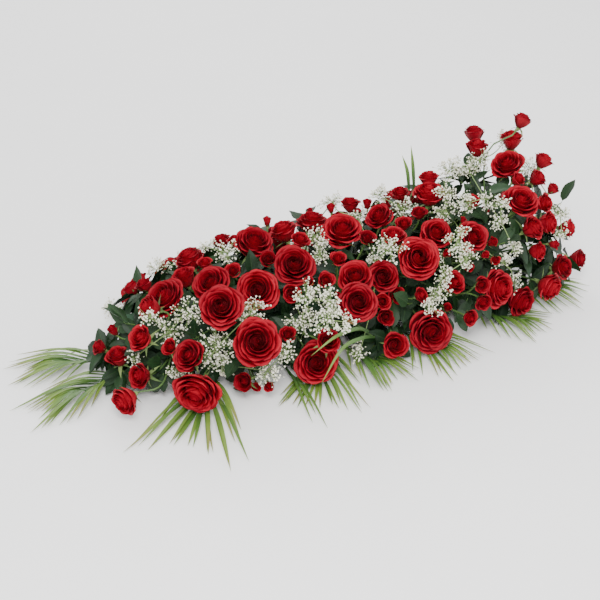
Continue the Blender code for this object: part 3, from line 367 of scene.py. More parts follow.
def along_sight(line, far=VIEW_DISTANCE + SIGHT_MARGIN):
    """Points every few millimetres along a line of sight, where it can be in the spray."""
    start = VIEW_DISTANCE - SIGHT_MARGIN
    return [VIEWER + line * (start + i * SIGHT_STEP) for i in range(int((far - start) / SIGHT_STEP))]


def seen_on_mound(x, y):
    """Where the line of sight through a pixel meets the mound, or passes it closest."""
    points = along_sight(sight_line(x, y))
    inside = [p for p in points if mound(p) < 0.0]
    if inside:
        return inside[0]
    return min((p for p in points if abs(p.y) < MOUND_HALF_WIDTH / 2), key=mound)


def hidden(place, reach):
    """Whether the mound stands between the viewer and a ball."""
    line = place + UP * reach - VIEWER
    return any(mound(p) < -HIDDEN_DEPTH for p in along_sight(line.normalized(), line.length - reach))


def facing(hour, tilt):
    """The direction that a bloom faces, from the clock hour it turns to and how far it turns."""
    turn, lean = math.radians(30 * hour), math.radians(tilt)
    aside = RIGHT * math.sin(turn) + UP * math.cos(turn)
    return (BACK * math.cos(lean) + aside * math.sin(lean)).normalized()


# Where the blooms and the clouds of gypsophila are


class Ball:
    """A bloom or a cloud, as the ball that it stays inside."""

    def __init__(self, kind, place, diameter, axis, sight=None):
        self.kind = kind
        self.place = place
        self.diameter = diameter
        self.axis = axis
        self.sight = sight
        self.reach = diameter * (BLOOM_REACH if kind == "bloom" else CLOUD_REACH / 2)

    def base(self):
        """Where the stem meets it."""
        return self.place + self.axis * (BLOOM_BASE * self.diameter if self.kind == "bloom" else 0.0)


def ball_places():
    balls = []
    for x, y, diameter, hour, tilt in TAIL_BLOOMS + MIDDLE_BLOOMS + HEAD_BLOOMS:
        place = seen_on_mound(x, y)
        axis = (facing(hour, tilt) * 2 + mound_normal(place)).normalized()
        balls.append(Ball("bloom", place, diameter / 1000, axis, sight_line(x, y)))
    for x, y, radius in CLOUDS:
        place = seen_on_mound(x, y)
        balls.append(Ball("cloud", place, radius / 500, mound_normal(place), sight_line(x, y)))
    settle(balls)
    add_back_balls(balls)
    return balls


def settle(balls):
    """Slides the balls along their lines of sight until none runs into another or into the table."""
    places = np.array([b.place for b in balls])
    sights = np.array([b.sight for b in balls])
    reaches = np.array([b.reach for b in balls])
    need = reaches[:, None] + reaches[None] + CLEARANCE
    np.fill_diagonal(need, 0.0)
    homes = places.copy()
    lightness = reaches**-2
    share = 2 * lightness[:, None] / (lightness[:, None] + lightness[None])
    for turn in range(SETTLE_TURNS):
        apart = places[None] - places[:, None]
        distance = np.linalg.norm(apart, axis=2)
        depth = np.einsum("ijk,ik->ij", apart, sights)
        depth = (depth - depth.T) / 2
        aside = np.sqrt(np.maximum(distance**2 - depth**2, 0.0))
        wanted = np.sqrt(np.maximum(need**2 - aside**2, 0.0))
        push = np.where(distance < need, SETTLE_PUSH * share * (wanted - np.abs(depth)), 0.0)
        places -= (np.where(depth >= 0, push, -push).sum(axis=1))[:, None] * sights
        if turn < SETTLE_TURNS * HOMING_SHARE:
            places += HOMING * (homes - places)
        lift = np.maximum(reaches + GROUND_GAP - places[:, 2], 0.0)
        places += sights * (lift / sights[:, 2])[:, None]
    for ball, place in zip(balls, places):
        ball.place = Vector(place)


def on_mound(x, angle, shrink=1.0):
    """The point of the mound at x, this many degrees round from the top towards the back."""
    aside = Vector((0, math.sin(math.radians(angle)), math.cos(math.radians(angle))))
    low, high = 0.0, 0.6
    for _ in range(30):
        reach = (low + high) / 2
        low, high = (reach, high) if mound(Vector((x, 0, 0)) + aside * reach) < 0 else (low, reach)
    return Vector((x, 0, 0)) + aside * (low * shrink)


def add_back_balls(balls):
    """Fills the far side of the mound, wherever there is room that the viewer can't see."""
    draw = random.Random(BACK_SEED)
    spots = []
    x = MOUND_TAIL + BACK_FROM_END
    while x < MOUND_HEAD - BACK_FROM_END:
        spots += [(x + draw.uniform(-0.01, 0.01), angle + draw.uniform(-5, 5), shrink)
                  for angle, shrink in BACK_SPOTS]
        x += BACK_SPACING
    draw.shuffle(spots)
    wanted = [("bloom", BACK_DIAMETERS[i % len(BACK_DIAMETERS)]) for i in range(BACK_BLOOMS)]
    wanted += [("cloud", BACK_CLOUD_DIAMETER)] * BACK_CLOUDS
    for kind, diameter in wanted:
        for x, angle, shrink in spots:
            place = on_mound(x, angle, shrink)
            ball = Ball(kind, place, diameter, mound_normal(place))
            place.z = max(place.z, ball.reach + GROUND_GAP)
            apart = [(place - b.place).length - ball.reach - b.reach for b in balls]
            if min(apart) > 2 * CLEARANCE and hidden(place, ball.reach):
                balls.append(ball)
                break


# Room for stems and leaves


def axes_along(way, least=0.05):
    """Two directions square to a direction and to each other."""
    aside = way.cross(ABOVE)
    aside = aside.normalized() if aside.length > least else Vector((1, 0, 0))
    return aside, aside.cross(way).normalized()


def gaps_to(points, centres, reaches):
    """How far each of an array of points is outside each of an array of balls."""
    return np.linalg.norm(points[:, None] - centres[None], axis=2) - reaches


def out_of_foam(points):
    """How far each of an array of points is outside the foam."""
    beyond = (np.abs(points[:, 0]) - FOAM_LENGTH / 2, np.abs(points[:, 1]) - FOAM_WIDTH / 2,
              points[:, 2] - FOAM_TOP)
    return np.stack(beyond).max(axis=0)


class Room:
    """What stands where, so that a new stem or leaf can be kept clear of it."""

    def __init__(self, balls):
        self.balls = balls
        self.centres = np.array([b.place for b in balls])
        self.reaches = np.array([b.reach for b in balls])
        self.starts = np.zeros((0, 3))
        self.ends = np.zeros((0, 3))
        self.radii = np.zeros(0)
        self.owners = np.zeros(0, dtype=object)
        self.trees = []

    def add_bars(self, path, radius, owner):
        self.starts = np.vstack((self.starts, [tuple(p) for p in path[:-1]]))
        self.ends = np.vstack((self.ends, [tuple(p) for p in path[1:]]))
        self.radii = np.append(self.radii, [radius] * (len(path) - 1))
        self.owners = np.append(self.owners, [owner] * (len(path) - 1))

    def space(self, path, radius, owner, skip=(), foam=True):
        """How much room there is round a path: below 0, it runs into something."""
        points = []
        for first, second in zip(path, path[1:]):
            count = max(int((second - first).length / BAR_STEP), 1)
            points += [tuple(first.lerp(second, i / count)) for i in range(count + 1)]
        points = np.array(points)
        distance = gaps_to(points, self.centres, self.reaches)
        distance[:, list(skip)] = 1.0
        least = distance.min() - radius
        others = self.owners != owner
        if others.any():
            starts, ends = self.starts[others], self.ends[others]
            along = ends - starts
            share = np.einsum("pbk,bk->pb", points[:, None] - starts[None], along)
            share = np.clip(share / np.einsum("bk,bk->b", along, along), 0.0, 1.0)
            gap = np.linalg.norm(points[:, None] - (starts + share[..., None] * along), axis=2)
            least = min(least, (gap - self.radii[others]).min() - radius)
        if foam:
            least = min(least, out_of_foam(points).min() - radius)
        return min(least, points[:, 2].min() - radius - TABLE_GAP) - CLEARANCE

    def route(self, start, finish, radius, owner, skip=()):
        """A path between two points, bent aside where the straight one runs into something."""
        way = finish - start
        aside, over = axes_along(way, 0.001)
        best, most = None, -1.0
        for reach in BENDS:
            for turn in range(8 if reach else 1):
                angle = math.pi * turn / 4
                for share in (BEND_SHARES if reach else BEND_SHARES[:1]):
                    bend = aside * (reach * math.cos(angle)) + over * (reach * math.sin(angle))
                    path = (start, start + way * share + bend, finish) if reach else (start, finish)
                    space = self.space(path, radius, owner, skip)
                    if space > 0:
                        return path, space
                    if space > most:
                        best, most = path, space
        return best, most


def foam_share(x, share=0.6):
    """How far along the foam the stem of something that stands at x starts."""
    end = FOAM_LENGTH / 2 - FOAM_END
    return max(min(x * share, end), -end)


def foam_stem(room, x, target, radius, owner, shifts):
    """A stem from inside the foam towards a target: its foot, the mouth of its hole, and its way."""
    best = None
    for shift in shifts:
        heart = Vector((x + shift, 0, FOAM_TOP - HEART_DEPTH))
        way = (target - heart).normalized()
        sides = ((FOAM_LENGTH / 2, heart.x, way.x), (FOAM_WIDTH / 2, 0.0, way.y), (HEART_DEPTH, 0.0, way.z))
        out = min((half - abs(start)) / abs(step) for half, start, step in sides if abs(step) > 1e-6)
        mouth = heart + way * out
        foot = mouth - way * (HOLE_DEPTH - 2 * GAP)
        space = room.space((foot, mouth + way * FREE_STEM), radius, owner, foam=False)
        if best is None or space > best[0]:
            best = (space, foot, mouth, way)
        if space > 0:
            break
    return best[1:]


def thin_stem(room, name, x, target, shifts):
    """The foot of a thin stem in the foam, and the point above the foam at which it forks."""
    foot, mouth, way = foam_stem(room, x, target, BRANCH_RADIUS, name, shifts)
    return foot, mouth + way * FREE_STEM


def bunch_of(bloom):
    """The bunch that a bloom belongs to: its row round the mound and its column along it."""
    around = math.degrees(math.atan2(bloom.place.y, bloom.place.z - 0.03))
    row = next(name for name, low, high in ROW_EDGES if low <= around < high)
    share = (bloom.place.x - MOUND_TAIL) / (MOUND_HEAD - MOUND_TAIL)
    return row, min(max(int(share * ROSE_COLUMNS), 0), ROSE_COLUMNS - 1)


def branch_to(room, fork, bloom, name, index):
    """A branch to a bloom's base, with a neck behind the bloom where it would come in from the side."""
    base = bloom.base()
    if (base - fork).normalized().dot(bloom.axis) > NECK_BELOW:
        return room.route(fork, base, BRANCH_RADIUS, name, (index,))[0]
    neck = base - bloom.axis * NECK_LENGTH
    path, _ = room.route(fork, neck, BRANCH_RADIUS, name, (index,))
    return (*path, base)


def blade(path, widths, up, keel):
    """A leaf along a path: two halves folded a little along a keel, pointed where its width is 0."""
    bm = bmesh.new()
    rings = []
    for i, point in enumerate(path):
        ahead = (path[min(i + 1, len(path) - 1)] - path[max(i - 1, 0)]).normalized()
        aside = ahead.cross(up).normalized()
        over = aside.cross(ahead).normalized()
        if widths[i] == 0:
            rings.append([bm.verts.new(point)] * 3)
            continue
        half, fold = widths[i] / 2, min(keel, widths[i] * 0.30)
        rings.append([bm.verts.new(point - aside * half), bm.verts.new(point + aside * half),
                      bm.verts.new(point - over * fold)])
    for first, second in zip(rings, rings[1:]):
        for k in range(3):
            corners = (first[k], first[(k + 1) % 3], second[(k + 1) % 3], second[k])
            bm.faces.new(sorted(set(corners), key=corners.index))
    if widths[0]:
        bm.faces.new(rings[0])
    bmesh.ops.recalc_face_normals(bm, faces=bm.faces)
    bmesh.ops.triangulate(bm, faces=bm.faces)
    return bm


def rib_edge(start, tip, i, pairs, side):
    """The two points of the rib that a leaflet grows from: one side of it, or its end."""
    across = (tip - start).cross(ABOVE).normalized() * RIB_HALF_WIDTH
    near, far = start.lerp(tip, i / pairs), start.lerp(tip, min((i + 1) / pairs, 1.0))
    if side == 0:
        return near + across, near - across
    return (near + across, far + across) if side < 0 else (far - across, near - across)


def fitting_leaflet(room, name, base, turn, length, width):
    """The middle and the tip of the leaflet with the highest arch that is clear of what is there."""
    way = Vector((math.cos(turn), math.sin(turn), 0))
    half = way.cross(ABOVE) * (width / 2)
    root = (base[0] + base[1]) / 2
    for lift in LIFTS:
        middle = root + way * (length * CROWN_AT) + Vector((0, 0, lift))
        end = root + way * length
        end.z = TIP_LEVEL
        points = (middle + half, middle - half, end)
        beyond = root.lerp(middle, 0.2)
        bm = bmesh.new()
        add_leaflet(bm, [bm.verts.new(p) for p in base], points)
        bmesh.ops.solidify(bm, geom=bm.faces[:], thickness=2 * FROND_THICKNESS)
        tree = BVHTree.FromBMesh(bm)
        bm.free()
        crossing = any(tree.overlap(other) for other in room.trees)
        if room.space((beyond, middle, end), FROND_THICKNESS, name) > -0.001 and not crossing:
            return points
    return None


def add_leaflet(bm, base, points):
    left, right, end = [bm.verts.new(p) for p in points]
    bm.faces.new((base[0], left, right))
    bm.faces.new((base[0], right, base[1]))
    bm.faces.new((left, end, right))


def frond_blade(start, tip, pairs, leaflets):
    """The rib and all its leaflets as one thin arched blade."""
    bm = bmesh.new()
    edges = {}
    for side in (-1, 1):
        edges[side] = []
        for i in range(pairs + 1):
            ends = rib_edge(start, tip, min(i, pairs - 1), pairs, side)
            edges[side].append(bm.verts.new(ends[(i == pairs) ^ (side > 0)]))
    for i in range(pairs):
        right, left = edges[-1][i:i + 2], edges[1][i:i + 2]
        bm.faces.new((right[0], right[1], left[1]))
        bm.faces.new((right[0], left[1], left[0]))
        if leaflets[i, -1]:
            add_leaflet(bm, right, leaflets[i, -1])
        if leaflets[i, 1]:
            add_leaflet(bm, left[::-1], leaflets[i, 1])
    if leaflets[pairs, 0]:
        add_leaflet(bm, (edges[-1][-1], edges[1][-1]), leaflets[pairs, 0])
    bmesh.ops.recalc_face_normals(bm, faces=bm.faces)
    bmesh.ops.solidify(bm, geom=bm.faces[:], thickness=FROND_THICKNESS)
    bmesh.ops.recalc_face_normals(bm, faces=bm.faces)
    return bm


def leaflet_size(i, pairs, longest, first, last):
    """The angle of a frond's leaflet to its rib, and its length."""
    share = (i + 0.4) / (pairs + 0.4)
    angle = math.radians(first + (last - first) * share)
    return angle, longest * (0.62 + 0.38 * math.sin(math.pi * min(share * 1.2, 1.0)))


def tree_of_twigs(room, owner, root, targets, radius):
    """Joins the targets to the root and to each other by the shortest clear twigs."""
    joined, paths, waiting = [(root, None)], [], list(targets)
    while waiting:
        options = sorted(
            ((place - room.balls[i].place).length, k, i)
            for k, (place, _) in enumerate(joined) for i in waiting
        )
        for _, k, i in options:
            skip = [i] + ([joined[k][1]] if joined[k][1] is not None else [])
            path, space = room.route(joined[k][0], room.balls[i].place, radius, owner, skip)
            if space > 0:
                room.add_bars(path, radius, owner)
                paths.append((path, i))
                joined.append((room.balls[i].place, i))
                waiting.remove(i)
                break
        else:
            break
    return paths


def leafy_path(room, name, fork, x, y, draw):
    """The clearest of some trial paths to just below the mound, near a pixel."""
    path, most = None, -1.0
    for _ in range(LEAFY_TRIALS):
        aside = draw.uniform(-LEAFY_STRAY, LEAFY_STRAY)
        down = draw.uniform(-LEAFY_STRAY, LEAFY_STRAY)
        end = seen_on_mound(x + aside, y + down)
        end -= mound_normal(end) * draw.uniform(*LEAFY_DEPTHS)
        trial, space = room.route(fork, end, BRANCH_RADIUS, name)
        if space > most:
            path, most = trial, space
        if space > 0:
            break
    return path


def point_along(path, share):
    """The point this share of the way along a path, and the way the path runs there."""
    lengths = [(b - a).length for a, b in zip(path, path[1:])]
    left = share * sum(lengths)
    for a, b, length in zip(path, path[1:], lengths):
        if left <= length or b is path[-1]:
            return a.lerp(b, min(left / length, 1.0)), (b - a).normalized()
        left -= length


def fitting_leaf(room, name, path, share, draw):
    """A leaf on a stem, turned to the first side that is clear."""
    root, along = point_along(path, share)
    aside = along.cross(ABOVE).normalized()
    over = aside.cross(along).normalized()
    first = draw.uniform(0, 2 * math.pi)
    for size in LEAF_SIZES:
        for turn in range(10):
            angle = first + turn * 2.4
            out = aside * math.cos(angle) + over * math.sin(angle)
            way = (along * (1.6 if share == 1.0 else 0.7) + out).normalized()
            flat = (along - way * along.dot(way) * 0.98).normalized() if share < 1.0 else over
            side = way.cross(flat).normalized()
            length, half = LEAF_LENGTH * size, LEAF_WIDTH * size / 2
            tip = root + way * length
            shape = [root - way * 0.001] + [root.lerp(tip, share) for share in LEAF_RINGS] + [tip]
            widths = [half * 2 * share for share in (LEAF_ROOT, *LEAF_WIDTHS)] + [0]
            lines = []
            for across in (-0.5, -0.25, 0.0, 0.25, 0.5):
                line = [place + side * (wide * across) for place, wide in zip(shape[1:-1], widths[1:-1])]
                lines += [root.lerp(line[0], 0.25), *line, tip]
            if room.space(lines, 0.0022, name) < 0:
                continue
            leaf = blade(shape, widths, flat, 0.003)
            tree = BVHTree.FromBMesh(leaf)
            if any(tree.overlap(other) for other in room.trees):
                leaf.free()
                continue
            room.add_bars((root, *shape[1:-1], tip), half * 0.5, name)
            room.trees.append(tree)
            leaf.free()
            return root, tip, half * 2, flat
    return None


def seen_at_depth(x, y, forward):
    """The point of a line of sight this far in front of the spray's middle."""
    line = sight_line(x, y)
    return VIEWER + line * ((-forward - VIEWER.y) / line.y)


def clear_line(room, name, points):
    """The places of a blade's points, as little in front of what it was read at as leaves it clear."""
    for step in range(30):
        line = [seen_at_depth(x, y, forward + 0.004 * step) for x, y, forward in points]
        if room.space(line, GRASS_WIDTH / 2, name) > 0:
            break
    return line


# Plans of what grows where, as the solids have it


def plan_roses(room):
    """Each bunch's foot, mouth of its hole, top of its stem, and blooms with their branches."""
    bunches = {}
    for index, ball in enumerate(room.balls):
        if ball.kind == "bloom":
            bunches.setdefault(bunch_of(ball), []).append(index)
    stems = {}
    for (row, column), members in sorted(bunches.items()):
        name = f"roses_{row}_{column + 1}"
        middle = sum((room.balls[i].base() for i in members), Vector()) / len(members)
        x = foam_share(MOUND_TAIL + (column + 0.5) * (MOUND_HEAD - MOUND_TAIL) / ROSE_COLUMNS)
        foot, mouth, way = foam_stem(room, x, middle, STEM_RADIUS, name, ROSE_SHIFTS)
        length = max((middle - mouth).length * FORK_AT, FREE_STEM)
        room.add_bars((foot, mouth + way * length), STEM_RADIUS, name)
        stems[name] = (foot, mouth, way, length, members)
    plans = {}
    for name, (foot, mouth, way, length, members) in stems.items():
        members.sort(key=lambda i: (room.balls[i].base() - mouth).dot(way))
        blooms = []
        for turn, i in enumerate(members):
            share = FIRST_BRANCH_AT + (1 - FIRST_BRANCH_AT) * (turn + 1) / len(members)
            path = branch_to(room, mouth + way * (length * share), room.balls[i], name, i)
            room.add_bars(path, BRANCH_RADIUS, name)
            blooms.append((room.balls[i], path))
        plans[name] = (foot, mouth, mouth + way * (length + PAST_FORK), blooms)
    return plans


def plan_fronds(room):
    """Each frond's stalk, rib, heading and the arch that fits each of its leaflets."""
    plans = {}
    for name, start, tip, pairs, longest, width, first, last in FRONDS:
        start = Vector((*start, RIB_LEVEL + 0.004))
        tip = Vector((*tip, RIB_LEVEL))
        heading = math.atan2(tip.y - start.y, tip.x - start.x)
        aim = Vector((start.x, start.y, FROND_AIM))
        foot, fork = thin_stem(room, name, foam_share(start.x, 0.9), aim, FROND_SHIFTS)
        room.add_bars((foot, fork, start, tip), BRANCH_RADIUS, name)
        leaflets = {}
        for i in range(pairs + 1):
            angle, length = leaflet_size(i, pairs, longest, first, last)
            for side in ((-1, 1) if i < pairs else (0,)):
                base = rib_edge(start, tip, i, pairs, side)
                leaflets[i, side] = fitting_leaflet(room, name, base, heading + side * angle, length, width)
        room.trees.append(BVHTree.FromBMesh(frond_blade(start, tip, pairs, leaflets)))
        plans[name] = ((foot, fork, start.lerp(tip, 0.06)), start, tip, heading, leaflets)
    return plans


def plan_gypsophila(room):
    """Each spray's foot, fork, and the twigs with the clouds at their ends."""
    plans = {}
    for number, (low, high) in enumerate(zip(GYP_EDGES, GYP_EDGES[1:])):
        name = f"gypsophila_{number + 1}"
        members = [i for i, b in enumerate(room.balls) if b.kind == "cloud" and low <= b.place.x < high]
        middle = sum((room.balls[i].place for i in members), Vector()) / len(members)
        foot, fork = thin_stem(room, name, foam_share((low + high) / 2), middle, GYP_SHIFTS)
        room.add_bars((foot, fork), BRANCH_RADIUS, name)
        twigs = tree_of_twigs(room, name, fork, members, TWIG_RADIUS)
        plans[name] = (foot, fork, [(path, room.balls[i]) for path, i in twigs])
    return plans


def plan_leafy_stems(room):
    """Each leafy stem's path and its leaves."""
    draw = random.Random(LEAF_SEED)
    plans = {}
    for number, (x, y) in enumerate(LEAFY_STEMS):
        name = f"foliage_{number + 1}"
        spot = seen_on_mound(x, y)
        foot, fork = thin_stem(room, name, foam_share(spot.x), spot, THIN_SHIFTS)
        path = (foot, *leafy_path(room, name, fork, x, y, draw))
        room.add_bars(path, BRANCH_RADIUS, name)
        leaves = [fitting_leaf(room, name, path[1:], share, draw) for share in LEAVES_AT]
        plans[name] = (path, [leaf for leaf in leaves if leaf])
    return plans


def plan_grass(room):
    """The foot and the fork of each root, and each blade's stalk and points."""
    plans = {}
    for name, blades in GRASS.items():
        lines = [clear_line(room, name, points) for points in blades]
        foot, fork = thin_stem(room, name, foam_share(lines[0][0].x), lines[0][0], THIN_SHIFTS)
        room.add_bars((foot, fork), BRANCH_RADIUS, name)
        stalks = []
        for line in lines:
            path, _ = room.route(fork, line[0], TWIG_RADIUS, name)
            room.add_bars((*path, *line[1:]), TWIG_RADIUS, name)
            stalks.append(((*path[:-1], line[0] + (line[1] - line[0]) * 0.05), line))
        plans[name] = (foot, fork, stalks)
    return plans


# Fine surfaces


class Growth:
    """The faces of one piece, gathered before they become its mesh.

    Each point has its form (across and along its petal or leaf) and its tone (a random number for the
    petal or leaf, and how far out it is in its bloom). The materials read the form and the first tone.
    """

    def __init__(self, *finishes, smooth=True):
        self.finishes = finishes
        self.smooth = smooth
        self.points, self.faces, self.form, self.tone, self.slots = [], [], [], [], []
        self.total = 0

    def add(self, points, faces, form, tone, finish):
        points[:, 2] = np.maximum(points[:, 2], LOWEST)
        self.points.append(points)
        self.faces.append(faces + self.total)
        self.form.append(form)
        self.tone.append(tone)
        self.slots.append(np.full(len(faces), self.finishes.index(finish)))
        self.total += len(points)

    def add_grids(self, grids, tone, finish):
        """Adds an array of grids of points (grid, along, across, xyz)."""
        count, long, wide, _ = grids.shape
        first = (np.arange(long - 1)[:, None] * wide + np.arange(wide - 1)[None]).ravel()
        faces = np.stack((first, first + 1, first + wide + 1, first + wide), axis=1)
        faces = (faces[None] + (np.arange(count) * long * wide)[:, None, None]).reshape(-1, 4)
        along, across = np.meshgrid(np.linspace(0, 1, long), np.linspace(0, 1, wide), indexing="ij")
        form = np.tile(np.stack((across, along), axis=-1).reshape(-1, 2), (count, 1))
        tone = np.repeat(np.asarray(tone, dtype=float).reshape(-1, 2), long * wide, axis=0)
        self.add(grids.reshape(-1, 3), faces, form, tone, finish)

    def piece(self, name, collection, materials):
        corners = np.concatenate([f.ravel() for f in self.faces])
        sizes = np.concatenate([np.full(len(f), f.shape[1]) for f in self.faces])
        points = np.concatenate(self.points)
        mesh = bpy.data.meshes.new(name)
        mesh.vertices.add(len(points))
        mesh.vertices.foreach_set("co", points.ravel())
        mesh.loops.add(len(corners))
        mesh.loops.foreach_set("vertex_index", corners)
        mesh.polygons.add(len(sizes))
        mesh.polygons.foreach_set("loop_start", np.concatenate(([0], np.cumsum(sizes)[:-1])))
        mesh.update(calc_edges=True)
        mesh.polygons.foreach_set("material_index", np.concatenate(self.slots))
        mesh.polygons.foreach_set("use_smooth", np.full(len(sizes), self.smooth))
        for layer, values in (("form", self.form), ("tone", self.tone)):
            corner_values = np.concatenate(values)[corners].ravel()
            mesh.uv_layers.new(name=layer).uv.foreach_set("vector", corner_values)
        mesh.validate()
        for finish in self.finishes:
            mesh.materials.append(materials[finish])
        obj = bpy.data.objects.new(name, mesh)
        collection.objects.link(obj)
        return obj


def unit_rows(rows, least=0.0):
    """An array of directions, each with length 1."""
    return rows / (np.linalg.norm(rows, axis=1)[:, None] + least)


def smooth_path(points, count):
    """A smooth curve through a few points, as an array of count points."""
    knots = np.array([tuple(p) for p in points])
    if len(knots) == 2:
        return knots[0] + np.linspace(0, 1, count)[:, None] * (knots[1] - knots[0])
    steps = np.concatenate(([0], np.cumsum(np.linalg.norm(np.diff(knots, axis=0), axis=1))))
    slopes = np.gradient(knots, steps, axis=0)
    at = np.linspace(0, steps[-1], count)
    k = np.clip(np.searchsorted(steps, at, side="right") - 1, 0, len(knots) - 2)
    span = (steps[k + 1] - steps[k])[:, None]
    t = (at - steps[k])[:, None] / span
    return ((2 * t**3 - 3 * t**2 + 1) * knots[k] + (t**3 - 2 * t**2 + t) * span * slopes[k]
            + (3 * t**2 - 2 * t**3) * knots[k + 1] + (t**3 - t**2) * span * slopes[k + 1])


def add_tube(growth, path, radii, sides, tone, finish):
    """A round stem along an array of points, with a radius at each point; its ends are left open."""
    ahead = unit_rows(np.gradient(path, axis=0))
    aside = np.array(axes_along(Vector(ahead[len(path) // 2]))[0])
    aside = unit_rows(aside[None] - ahead * (ahead @ aside)[:, None])
    over = np.cross(ahead, aside)
    turn = np.linspace(0, 2 * math.pi, sides + 1)
    ring = aside[:, None] * np.cos(turn)[None, :, None] + over[:, None] * np.sin(turn)[None, :, None]
    grid = path[:, None] + ring * np.asarray(radii)[:, None, None]
    growth.add_grids(grid[None], [tone], finish)


def add_stem(growth, points, count, radius, sides, tone=(0.5, 0.5), finish="stem", taper=1.0):
    """A round stem on a smooth curve through a few points."""
    radii = np.linspace(1.0, taper, count) * radius
    add_tube(growth, smooth_path(points, count), radii, sides, tone, finish)


def leaf_grid(root, way, up, length, width, long, wide, shape, bend, fold, ruffle, draw):
    """A leaf: it folds along its midrib, bends down towards its tip, and its margin waves a little."""
    side = way.cross(up).normalized()
    up = side.cross(way).normalized()
    v = np.linspace(0, 1, long)[:, None]
    u = np.linspace(-1, 1, wide)[None]
    turn = bend * v
    bent = np.abs(turn) > 1e-4
    safe = np.where(turn == 0, 1, bend)
    ahead = np.where(bent, np.sin(turn) / safe, v)
    drop = np.where(bent, (1 - np.cos(turn)) / safe, 0.0)
    half = width / 2 * shape(v)
    wave = ruffle * np.sin(v * draw.uniform(9, 14) + u * 1.3 + draw.uniform(0, 6)) * np.abs(u) ** 1.5
    drift = draw.uniform(-0.06, 0.06) * v**2
    x = ahead * length + 0 * u
    y = u * half * math.sqrt(max(1 - fold * fold, 0.1)) + drift * length
    z = np.abs(u) * half * fold + wave * half - drop * length
    return (np.array(root) + x[..., None] * np.array(way) + y[..., None] * np.array(side)
            + z[..., None] * np.array(up))


def broad(v):
    """Half width of a rose or salal leaf along it, as a share of its widest."""
    return np.clip(np.sin(math.pi * np.clip(v, 0, 1) ** 0.80) ** 0.85, 0.02, 1)


def slender(v):
    """Half width of a palm leaflet along it."""
    return np.clip((0.35 + 0.65 * np.sin(math.pi * np.clip(v / 0.7, 0, 1) / 2)) * (1 - v**3.2), 0.015, 1)


def sepal_shape(v):
    return np.clip(1.0 - v**1.3, 0.02, 1) * (0.75 + 0.25 * np.sin(math.pi * v))


# Roses


def petal_settings(petals, kind, open_out, noise, draw):
    """For each petal from the heart out, in arrays that spread over its grid: how far out it is, its angle,
    reach, lip's height, lean, roll and length, half angle, and how pointed its tip is."""
    _, widest, slim, _, *lip_heights = kind
    k = np.arange(petals)
    t = k / (petals - 1)
    angle = GOLDEN_TURN * k + noise.uniform(-0.30, 0.30, petals) + draw.uniform(0, 6.3)
    reach = (0.030 + widest * t**0.95 * (0.8 + 0.2 * open_out)) * slim
    lip_height = np.interp(t, *lip_heights) + noise.uniform(-0.012, 0.012, petals)
    lean = np.interp(t, *PETAL_LEANS) * open_out
    roll = np.radians(np.interp(t, *PETAL_ROLLS)) * open_out * noise.uniform(0.70, 1.15, petals)
    lip = 0.046 + 0.034 * t
    half = np.minimum((0.15 + 0.25 * t) / reach, 2.1) * noise.uniform(0.92, 1.10, petals)
    point = np.where(t > 0.45, noise.uniform(0.1, 1.3, petals) * (t - 0.20), 0.0)
    return [a[:, None, None] for a in (t, angle, reach, lip_height, lean, roll, lip, half, point)]


